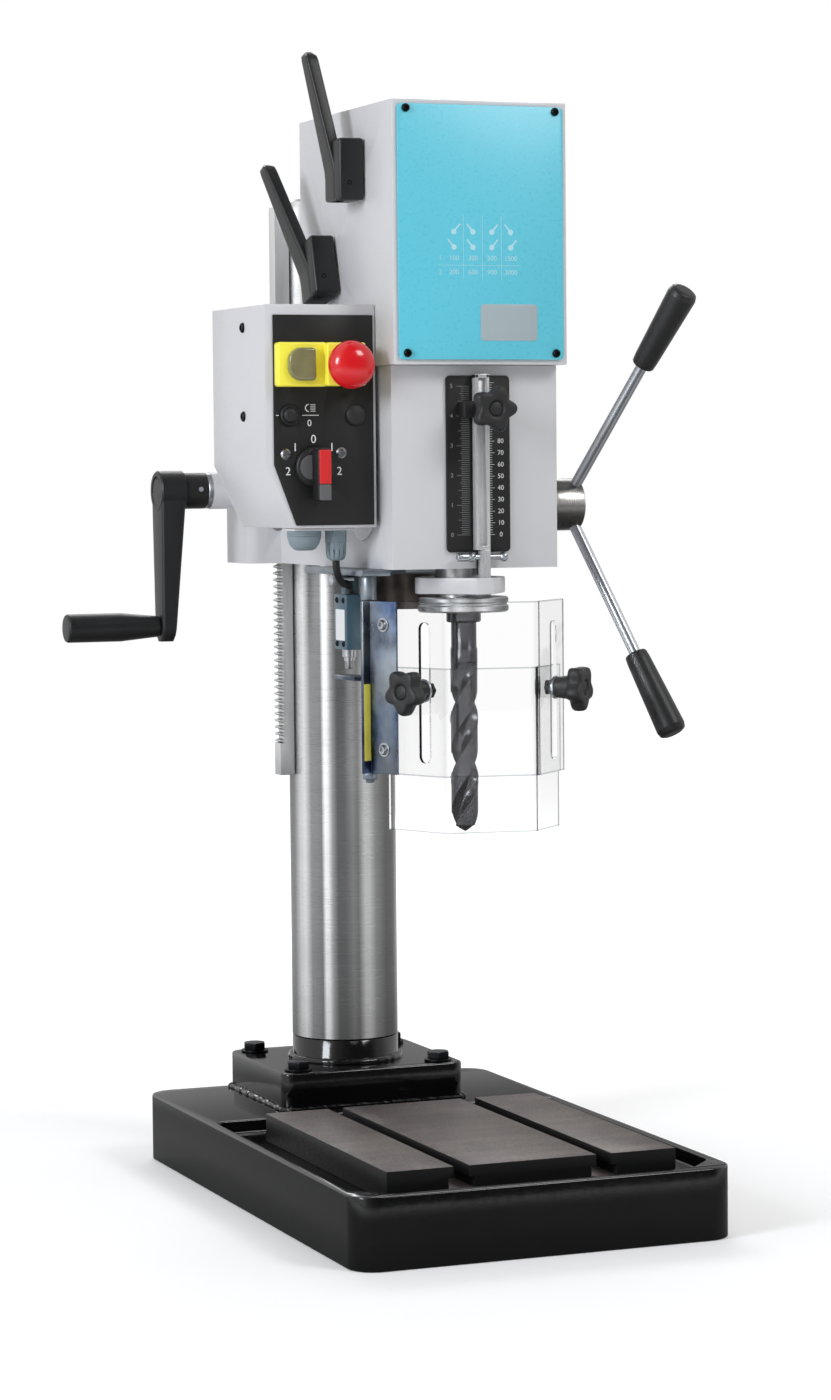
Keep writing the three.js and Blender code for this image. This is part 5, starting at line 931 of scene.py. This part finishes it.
def make_gauge():
    marks = []
    for mm in range(0, 131, 2):
        reach = 4.2 if mm % 10 == 0 else 2.2
        z = SCALE_ZERO + mm
        marks.append(bar_mark(12.6, 12.6 + reach, PLATE_FRONT, z - 0.17, z + 0.17))
    marks += [lettered(str(mm), 5.8, 22.6, PLATE_FRONT, SCALE_ZERO + mm) for mm in range(0, 121, 10)]
    inches = []
    for step in range(5 * 16 + 1):
        reach = 12 if step % 16 == 0 else 10.5 if step % 8 == 0 else 9 if step % 4 == 0 else 7.5
        z = SCALE_ZERO + step * INCH / 16
        inches.append(bar_mark(-6.2 - reach, -6.2, PLATE_FRONT, z - 0.16, z + 0.16))
    inches += [lettered(str(inch), 5.2, -22.6, PLATE_FRONT, SCALE_ZERO + inch * INCH) for inch in range(6)]
    piece("scale_marks", beside(*marks), "white_print", "head")
    piece("scale_inches", beside(*inches), "dim_print", "head")
    left, right, depth = -4.5, 8.5, (BAR_FRONT, BAR_BACK)
    channel = [(left, BAR_FRONT), (-1.6, BAR_FRONT), (-1.6, -143.6), (5.6, -143.6), (5.6, BAR_FRONT),
               (right, BAR_FRONT), (right, BAR_BACK), (left, BAR_BACK)]
    bar = beside(prism([channel], 587, 734), block((left, right), depth, (584, 587.5)),
                 block((0, right), depth, (546, 584)), block((left, right), depth, (730.5, 734)))
    piece("gauge_bar", bar, "bar_steel", "quill_unit", ["depth_bar"], 0.5, 40)
    pin = rod((-21, PIN_Y, PIN_Z), (22, PIN_Y, PIN_Z), 2.4)
    sleeve = lathe([(0, -21), (3.6, -21), (3.6, -11), (0, -11)], "x", (0, PIN_Y, PIN_Z), 40, 0.5)
    balls = [ball((x, PIN_Y, PIN_Z), 4.2, 40) for x in (-8, 22)]
    piece("gauge_pin", beside(pin, sleeve, *balls), "rod_steel", "quill_unit", ["depth_bar"])
    dress("black_plastic", 0.8, "depth_stop")
    knob = moved(star_form(), placed(2, -151.9, 704, 90, "X"))
    piece("gauge_knob", knob, "soft_black", "stop_knob", ["depth_knob"], angle=60)


# Quill, spindle nose and drill
SPINDLE = (0, -105, 0)
DRILL_TIP = 339
FLUTES = 148
FLUTE_TURNS = 1.4
DRILL_RADIUS = 11.7
LAND = 0.52                       # share of half a turn that isn't flute


def flute_depth(phase):
    """How much of the drill's radius is cut away at a share of half a turn."""
    if phase < LAND:
        return 0 if phase < 0.06 else 0.03
    return 0.56 * math.sin(math.pi * (phase - LAND) / (1 - LAND)) ** 0.7


def make_tool():
    tube = lathe([(0, 541), (24, 541), (24, 758.6), (22.6, 760), (0, 760)], at=SPINDLE, segments=120)
    disc = lathe([(0, 530), (37.6, 530), (39, 531.4), (39, 535.2), (37.4, 536.4), (37.4, 537.4), (39, 538.6),
                  (39, 541.8), (37.8, 543), (0, 543)], at=SPINDLE, segments=144)
    piece("quill_sleeve", beside(tube, disc), "disc_steel", "quill_unit", ["quill"], angle=40)
    nose = lathe([(0, 521), (13.8, 521), (15, 522.2), (15, 531), (15, 542), (9, 542), (9, 700), (0, 700)],
                 at=SPINDLE, segments=96)
    piece("spindle_nose", nose, "drill_steel", "spindle_unit", ["spindle"], angle=40)
    rings = []
    depths = [flute_depth(2 * k / 120 % 1) for k in range(120)]
    for share in (step / 220 for step in range(221)):
        z = DRILL_TIP + share * FLUTES
        size = DRILL_RADIUS * (0.05 + 0.95 * min(1, share * FLUTES / 6))
        fade = min(1, max(0, (DRILL_TIP + FLUTES - z) / 16)) ** 0.7
        plan = circle(0, 0, size, 120, 360 * FLUTE_TURNS * share)
        rings.append([(u * (1 - depth * fade), SPINDLE[1] + v * (1 - depth * fade), z)
                      for (u, v), depth in zip(plan, depths)])
    shank = lathe([(0, 486.5), (11.7, 486.5), (11.7, 498), (11, 499), (11, 520.7), (0, 520.7)], at=SPINDLE)
    piece("twist_drill", beside(loft(rings), shank), "drill_steel", "spindle_unit", ["drill_bit"],
          angle=50)


# Control box: stop button, lamp lens, light button, switch and their marks
FACE = -108.9
SEAT = 109.2                      # how far ahead of the origin the controls stand out
ESTOP = (-114, 742)
ROTARY = (-138, 656)
BUTTON = (-159, 700)


def front_lathe(profile, x, z, segments=72):
    """A turned form that stands out of the face towards the front; its profile starts at the seat."""
    return lathe([(radius, -SEAT - out) for radius, out in profile], "y", (x, 0, z), segments)


def front_plate(outline, back, front, bevel=0.0, steps=2):
    """A plate between two distances ahead of the seat."""
    return prism([outline], -SEAT - front, -SEAT - back, "y", bevel, steps)


def make_estop():
    low = front_plate(rounded(rectangle(-173, -129, 724, 761.5), 2.4), 0, 12)
    high = front_plate(rounded(rectangle(-132, -97, 724.4, 761.1), 2.4), 0, 20)
    piece("estop_case", beside(low, high), "yellow_plastic", "head", ["estop_housing"], 1.6,
          angle=40, segments=3)
    window = rounded(rectangle(-165, -140.5, 728.75, 756.75), [11, 4, 4, 11], steps=8)
    piece("estop_lens", front_plate(window, 9, 17.7, 2.4, 4), "smoky_lens", "head",
          ["estop_housing"], angle=50)
    profile = [(0, -4.2), (8, -4.2), (8, 26), (18.8, 26), (20.3, 27.6), (20.5, 29.4)]
    profile += [(20.5 * math.cos(angle) ** 0.85, 29.4 + 14.6 * math.sin(angle))
                for angle in (step / 15 * math.pi / 2 for step in range(1, 15))]
    cap = front_lathe(profile + [(0, 44)], *ESTOP, 96)
    piece("estop_mushroom", cap, "red_plastic", "stop_button", ["estop_button"], angle=50)
    skirt = front_lathe([(0, 19), (13, 19), (12.4, 22.4), (0, 22.4)], *ESTOP)
    piece("estop_skirt", skirt, "yellow_plastic", "head")


def make_controls():
    ring = front_lathe([(6.6, 0), (8.8, 0), (8.8, 1.8), (8, 2.4), (6.6, 2.4), (6.6, 0)], *BUTTON)
    piece("light_ring", ring, "black_plastic", "head")
    button = front_lathe([(0, -8.2), (5, -8.2), (5, 2.2), (6.3, 2.2), (6.3, 3.2), (5.6, 4.2), (3, 4.8), (0, 5)],
                         *BUTTON)
    piece("light_cap", button, "soft_black", "lamp_button", ["light_button"], angle=50)
    plug = front_lathe([(0, -0.2), (8.6, -0.2), (8.6, 1.2), (7.6, 2.2), (0, 2.6)], -99.5, 700)
    piece("blank_plug", plug, "soft_black", "head", angle=50)
    x, z = ROTARY
    body = "speed_knob"
    base = front_lathe([(0, 0), (17, 0), (17, 3.6), (15.8, 5), (0, 5)], x, z, 96)
    outline = rounded(rectangle(x - 3.2, x + 8.6, z - 28.8, z + 16.2), [2, 2, 3, 3], steps=6)
    piece("switch_handle", beside(base, front_plate(outline, 4.7, 20.4)), "black_plastic", body,
          ["rotary_knob"], 0.8, angle=50, segments=3)
    half = front_plate(arc(x - 3.6, z, 10.4, range(90, 271, 6)), 4.8, 6.2)
    piece("switch_disc", half, "grey_plastic", body)
    red = front_plate(rounded(rectangle(x - 2.4, x + 7.9, z - 14.2, z + 14.6), 1, steps=3), 19, 22)
    piece("switch_pointer", red, "red_indicator", body, bevel=0.5, angle=50)
    low = front_plate(rounded(rectangle(x - 2.4, x + 7.9, z - 28, z - 14.6), 1, steps=3), 19, 21.4)
    piece("switch_foot", low, "grey_plastic", body, bevel=0.4, angle=50)
    marks = [lettered(text, 10, u, FACE, v)
             for text, (u, v) in zip("21012", arc(x, z, 23.5, (189, 135, 90, 45, -9)))]
    marks += [bar_mark(-148, -133, FACE, 699.7, 700.3), bar_mark(-171.5, -169, FACE, 699.7, 700.3),
              lettered("0", 8, -141.5, FACE, 693.2)]
    marks += [bar_mark(-140.5, -136, FACE, row, row + 0.6) for row in (703.2, 705, 706.8, 708.6)]
    lamp = arc(-142, 706.2, 3.4, range(90, 271, 15)) + arc(-142, 706.2, 2.6, range(270, 89, -15))
    marks.append(prism([lamp], FACE - PRINT, FACE, "y"))
    piece("panel_marks", beside(*marks), "white_print", "head")
    screws = [cross_screw(u, FACE, v, 4.7) for u, v in ((-163, 667), (-113, 668))]
    piece("panel_screws", beside(*screws), "bright_steel", "head")
    sides = [socket_screw((-180, -50, row), 4.5, 2.2, "x") for row in (776, 700)]
    piece("box_screws", beside(*sides), "bolt_black", "head")


# Glands and the cable to the limit switch
CABLE = [(-108, -80, 580), (-107.8, -79.8, 570), (-104.5, -76.5, 561), (-98, -69, 555.5), (-91.5, -61, 554.5),
         (-87.6, -56, 552.5), (-87, -55, 549), (-87, -55, 546)]
BIG_GLAND = (-137, -80, 0)
SMALL_GLAND = (-108, -80, 0)
BOX_FLOOR = 603.7


def curved(points):
    """A smooth line through points, in twelve steps from each one to the next."""
    line = []
    for i in range(len(points) - 1):
        a, b, c, d = (Vector(points[max(0, min(len(points) - 1, k))]) for k in (i - 1, i, i + 1, i + 2))
        for t in (step / 12 for step in range(12)):
            line.append(tuple(0.5 * (2 * b + (c - a) * t + (2 * a - 5 * b + 4 * c - d) * t * t
                                     + (3 * b - a - 3 * c + d) * t ** 3)))
    return line + [points[-1]]


def below_box(profile, at, segments):
    """A turned form whose profile goes down from the box's floor."""
    return lathe([(radius, BOX_FLOOR - drop) for radius, drop in profile], at=at, segments=segments)


def make_cable():
    plate = prism([rounded(rectangle(-152, -96, -95, -65), 2, steps=4)], BOX_FLOOR - 2, BOX_FLOOR)
    piece("gland_plate", plate, "grey_paint", "head", ["switch_cable"], 0.4)
    form = below_box([(0, 19), (6.8, 19), (9.6, 17.6), (12.8, 13.6), (14.6, 8), (15, 2), (0, 2)], BIG_GLAND, 96)
    ribs = [below_box([(14.2, drop), (15.2, drop - 0.5), (14.2, drop - 1), (14.2, drop)], BIG_GLAND, 96)
            for drop in (7.4, 5.4)]
    piece("big_gland", beside(form, *ribs), "gland_plastic", "head", ["switch_cable"], angle=40)
    nut = prism([circle(*SMALL_GLAND[:2], 10, 6)], BOX_FLOOR - 12.6, BOX_FLOOR - 2)
    dome = below_box([(0, 28), (5.4, 28), (7.6, 26), (8.8, 22), (9, 12), (0, 12)], SMALL_GLAND, 72)
    slots = [moved(block((-0.5, 0.5), (7.2, 11), (BOX_FLOOR - 27, BOX_FLOOR - 19)), placed(*SMALL_GLAND, 30 * i))
             for i in range(12)]
    piece("small_gland", beside(nut, cut(dome, *slots)), "gland_plastic", "head",
          ["switch_cable"], 0.3, 40)
    piece("cable", swept(curved(CABLE), 3.2, 28), "cable_rubber", "head", ["switch_cable"], angle=60)


# Limit switch, guard bracket and clear shields
GUARD_YAW = -10
GUARD_BEND = 55.5
LEFT_WIDTH, FRONT_WIDTH, RIGHT_WIDTH = 82, 83, 61
SHEET = 3
STUD_Z = 466
STUDS = {"left": 22, "right": 37}


def heading(degrees):
    return Vector((math.cos(math.radians(degrees)), math.sin(math.radians(degrees))))


FRONT_RUN = heading(GUARD_YAW)
FRONT_OUT = Vector((FRONT_RUN.y, -FRONT_RUN.x))
LEFT_RUN = heading(GUARD_YAW + 180 - GUARD_BEND)
LEFT_OUT = Vector((-LEFT_RUN.y, LEFT_RUN.x))
RIGHT_RUN = heading(GUARD_YAW + GUARD_BEND)
RIGHT_OUT = Vector((RIGHT_RUN.y, -RIGHT_RUN.x))
LEFT_CORNER = Vector((-51, -182))
RIGHT_CORNER = LEFT_CORNER + FRONT_RUN * FRONT_WIDTH
PANELS = {"left": (LEFT_CORNER, LEFT_RUN, LEFT_OUT), "right": (RIGHT_CORNER, RIGHT_RUN, RIGHT_OUT)}


def offset_line(points, distance):
    normals = []
    for first, second in zip(points, points[1:]):
        run = (Vector(second) - Vector(first)).normalized()
        normals.append(Vector((-run.y, run.x)) * distance)
    line = []
    for i, point in enumerate(points):
        both = normals[max(0, i - 1)] + normals[min(len(normals) - 1, i)]
        line.append(tuple(Vector(point) + both * (2 * distance ** 2 / both.length_squared)))
    return line


def shield_form(inset, left, right, low, high):
    """A sheet with two bends; left and right are the widths of its side panels."""
    line = [LEFT_CORNER + LEFT_RUN * left, LEFT_CORNER, RIGHT_CORNER, RIGHT_CORNER + RIGHT_RUN * right]
    if inset:
        line = offset_line(line, inset)
    inner = offset_line(line, SHEET)
    return prism([rounded(line, 12, False, 10) + rounded(inner, 12 - SHEET, False, 10)[::-1]], low, high)


def on_panel(form, side, distance=None):
    """Moves a form from the YZ plane to a side panel, by default to its stud."""
    corner, run, out = PANELS[side]
    at = corner + run * (STUDS[side] if distance is None else distance)
    return moved(form, placed(at.x, at.y, 0, math.degrees(math.atan2(out.y, out.x))))


def clear_guard():
    """Clear plastic with painted shade: side panels greyer than the front, grey where it bends and dark at its cut
    edges.
    """
    shader = Shader("clear_guard")
    dust = shader.noise(120, detail=5)
    coordinates = shader.node("ShaderNodeTexCoord").outputs
    facing, tint = 0, 1
    # Painted shade: the side panels are made greyer than the front by how they face
    for out, level in ((FRONT_OUT, 0.995), (LEFT_OUT, 0.925), (RIGHT_OUT, 0.87)):
        size = shader.math("ABSOLUTE", shader.vector_math("DOT_PRODUCT", coordinates["Normal"], (*out, 0)))
        facing = shader.math("MAXIMUM", facing, size)
        tint = shader.math("MULTIPLY", tint, shader.ranged(size, 1, level, 0.9, 0.99))
    # Painted shade: greyer where the sheet bends away from the panels' faces
    color = shader.math("MULTIPLY", tint, shader.ranged(facing, 0.84, 1, 0.88, 0.995))
    clear = shader.node("ShaderNodeCombineColor", {0: color, 1: color, 2: color}).outputs[0]
    clear = shader.mixed(shader.ranged(dust, 0, 0.06), clear, (0.9, 0.92, 0.93, 1))
    height = shader.node("ShaderNodeSeparateXYZ", {"Vector": coordinates["Generated"]}).outputs["Z"]
    ends = shader.math("ABSOLUTE", shader.math("SUBTRACT", height, 0.5))
    # Painted shade: grey at the bends and at the cut ends of the sheet
    edge = shader.math("MAXIMUM", shader.ranged(facing, 1, 0, 0.6, 0.88), shader.ranged(ends, 0, 0.8, 0.4915, 0.494))
    shader.set(Base_Color=shader.mixed(edge, clear, (0.5, 0.54, 0.55, 1)), IOR=1.25,
               Roughness=shader.ranged(dust, 0.01, 0.03), Transmission_Weight=1.0)
    shadow = shader.node("ShaderNodeLightPath").outputs["Is Shadow Ray"]
    through = shader.node("ShaderNodeBsdfTransparent").outputs[0]
    both = shader.node("ShaderNodeMixShader", {0: shadow, 1: shader.surface.outputs[0], 2: through}).outputs[0]
    shader.feed(shader.tree.nodes["Material Output"].inputs["Surface"], both)
    return shader.material


look["clear_guard"] = clear_guard()


def make_guard():
    slots = [on_panel(prism([arc(0, 518, 6, range(0, 181, 15)) + arc(0, 410, 6, range(180, 361, 15))], -6, 4, "x"),
                      side) for side in STUDS]
    upper = cut(shield_form(0, LEFT_WIDTH, RIGHT_WIDTH, 393, 541), *slots)
    piece("guard_sheet", upper, "clear_guard", "guard", ["upper_shield"], angle=25)
    holes = [on_panel(rod((-14, 0, STUD_Z), (4, 0, STUD_Z), 4.3), side) for side in STUDS]
    lower = cut(shield_form(3.5, 68, 57, 345, 485), *holes)
    piece("slide_sheet", lower, "clear_guard", "sliding_shield", ["lower_shield"], angle=25)
    for side in STUDS:
        nut = on_panel(prism([circle(0, STUD_Z, 7, 6)], -10, -6.6, "x"), side)
        piece(f"shield_nut_{side}", nut, "bolt_black", "sliding_shield", bevel=0.4)
        knob = moved(star_form(), placed(2.6, 0, STUD_Z, 90, "Y"))
        piece(f"shield_knob_{side}", on_panel(knob, side), "soft_black", f"shield_knob_{side}",
              [f"{side}_knob"], angle=60)
        washer = lathe([(0, 0.3), (10, 0.3), (10, 2.5), (0, 2.5)], "x", (0, 0, STUD_Z), 64, 0.3)
        stud = rod((-10.4, 0, STUD_Z), (3, 0, STUD_Z), 4)
        piece(f"shield_stud_{side}", on_panel(beside(washer, stud), side), "rod_steel", f"shield_knob_{side}",
              [f"{side}_knob"], angle=40)
    dress("zinc_sheet", 0.5, "guard_bracket")
    strip = on_panel(block((4.2, 11.7), (0.02, 0.3), (404, 470)), "left", LEFT_WIDTH)
    piece("bracket_strip", strip, "yellow_strip", "guard")
    screws = []
    for z in (521, 414):
        washer = lathe([(0, 3.3), (6, 3.3), (6, 4.3), (0, 4.3)], "x", (0, 0, z), 48)
        screws += [on_panel(form, "left", 66) for form in (washer, socket_screw((4.3, 0, z), 4.4, 3.2, "x", 1))]
    piece("bracket_screws", beside(*screws), "rod_steel", "guard", angle=40)


def make_switch():
    dress("switch_paint", 0.8, "limit_switch")
    label = prism([rounded(rectangle(-57, -35, 505, 532), 1, steps=3)], -92.25, -91.98, "x")
    piece("switch_label", label, "white_label", "head")
    barrel = lathe([(0, 487), (4.6, 487), (4.6, 490), (6, 490.5), (6, 497.2), (0, 497.2)], at=(-84, -46, 0),
                   segments=56)
    piece("switch_barrel", barrel, "bright_steel", "head", angle=40)
    screws = [socket_screw((-92, y, z), 2.6, 1.2, "x") for y in (-54, -38) for z in (502, 540)]
    piece("switch_screws", beside(*screws), "bolt_black", "head", angle=40)
    shank = rod((-99, -52, 558.5), (-82, -52, 558.5), 2.6)
    bolt = hex_head((0, -52, 558.5), 5.4, -98.5, -102.5, "x")
    piece("carrier_bolt", beside(shank, bolt), "rod_steel", "head", angle=40)
    strip = prism([rounded(rectangle(-34, 4, 563.2, 567), 0.8, steps=3)], -56, -55.3, "y")
    piece("carrier_strip", strip, "white_label", "head")


# Front panel: screws, a bare plate and a plain chart of numbers
PANEL_FACE = -152.8
SLOW_Z, FAST_Z = 831.6, 819.8
CHART = ((40, -40, "100", "200"), (-40, -40, "300", "600"), (40, 40, "500", "900"), (-40, 40, "1500", "3000"))


def make_panel():
    screws = [socket_screw((x, PANEL_FACE, z), 3.6, 2.4) for x in (-68.5, 68.5) for z in (957, 751.5)]
    piece("cover_screws", beside(*screws), "bolt_black", "head", angle=40)
    plate = prism([rounded(rectangle(-1.5, 51, 762, 793), 3)], PANEL_FACE - 0.4, PANEL_FACE, "y")
    piece("bare_plate", plate, "grey_plate", "head", bevel=0.12)
    marks = []
    for column, (upper, lower, slow, fast) in enumerate(CHART):
        x = -25.5 + column * 17.4
        for z, lean in ((854, upper), (841, lower)):
            pivot = prism([circle(x, z, 2.4, 32)], PANEL_FACE - PRINT, PANEL_FACE, "y")
            arm = block((-0.7, 0.7), (-PRINT / 2, PRINT / 2), (0, 8.6))
            marks += [pivot, moved(arm, placed(x, PANEL_FACE - 0.08, z, lean, "Y"))]
        marks += [lettered(slow, 6, x, PANEL_FACE, SLOW_Z), lettered(fast, 6, x, PANEL_FACE, FAST_Z)]
        if column:
            marks.append(bar_mark(x - 8.9, x - 8.5, PANEL_FACE, 814, 868))
    marks += [lettered(text, 6, -38, PANEL_FACE, z) for text, z in (("1", SLOW_Z), ("2", FAST_Z))]
    marks.append(bar_mark(-40, 35, PANEL_FACE, 825.5, 825.9))
    piece("panel_chart", beside(*marks), "pale_print", "head")


make_base()
make_column()
make_housings()
make_lever("upper_selector", "upper_lever", "lever_upper", -72, 910, 0, 14, 104)
make_lever("lower_selector", "lower_lever", "lever_lower", -4, 829, -16, 20, 109)
make_crank()
make_capstan()
make_gauge()
make_tool()
make_estop()
make_controls()
make_cable()
make_guard()
make_switch()
make_panel()
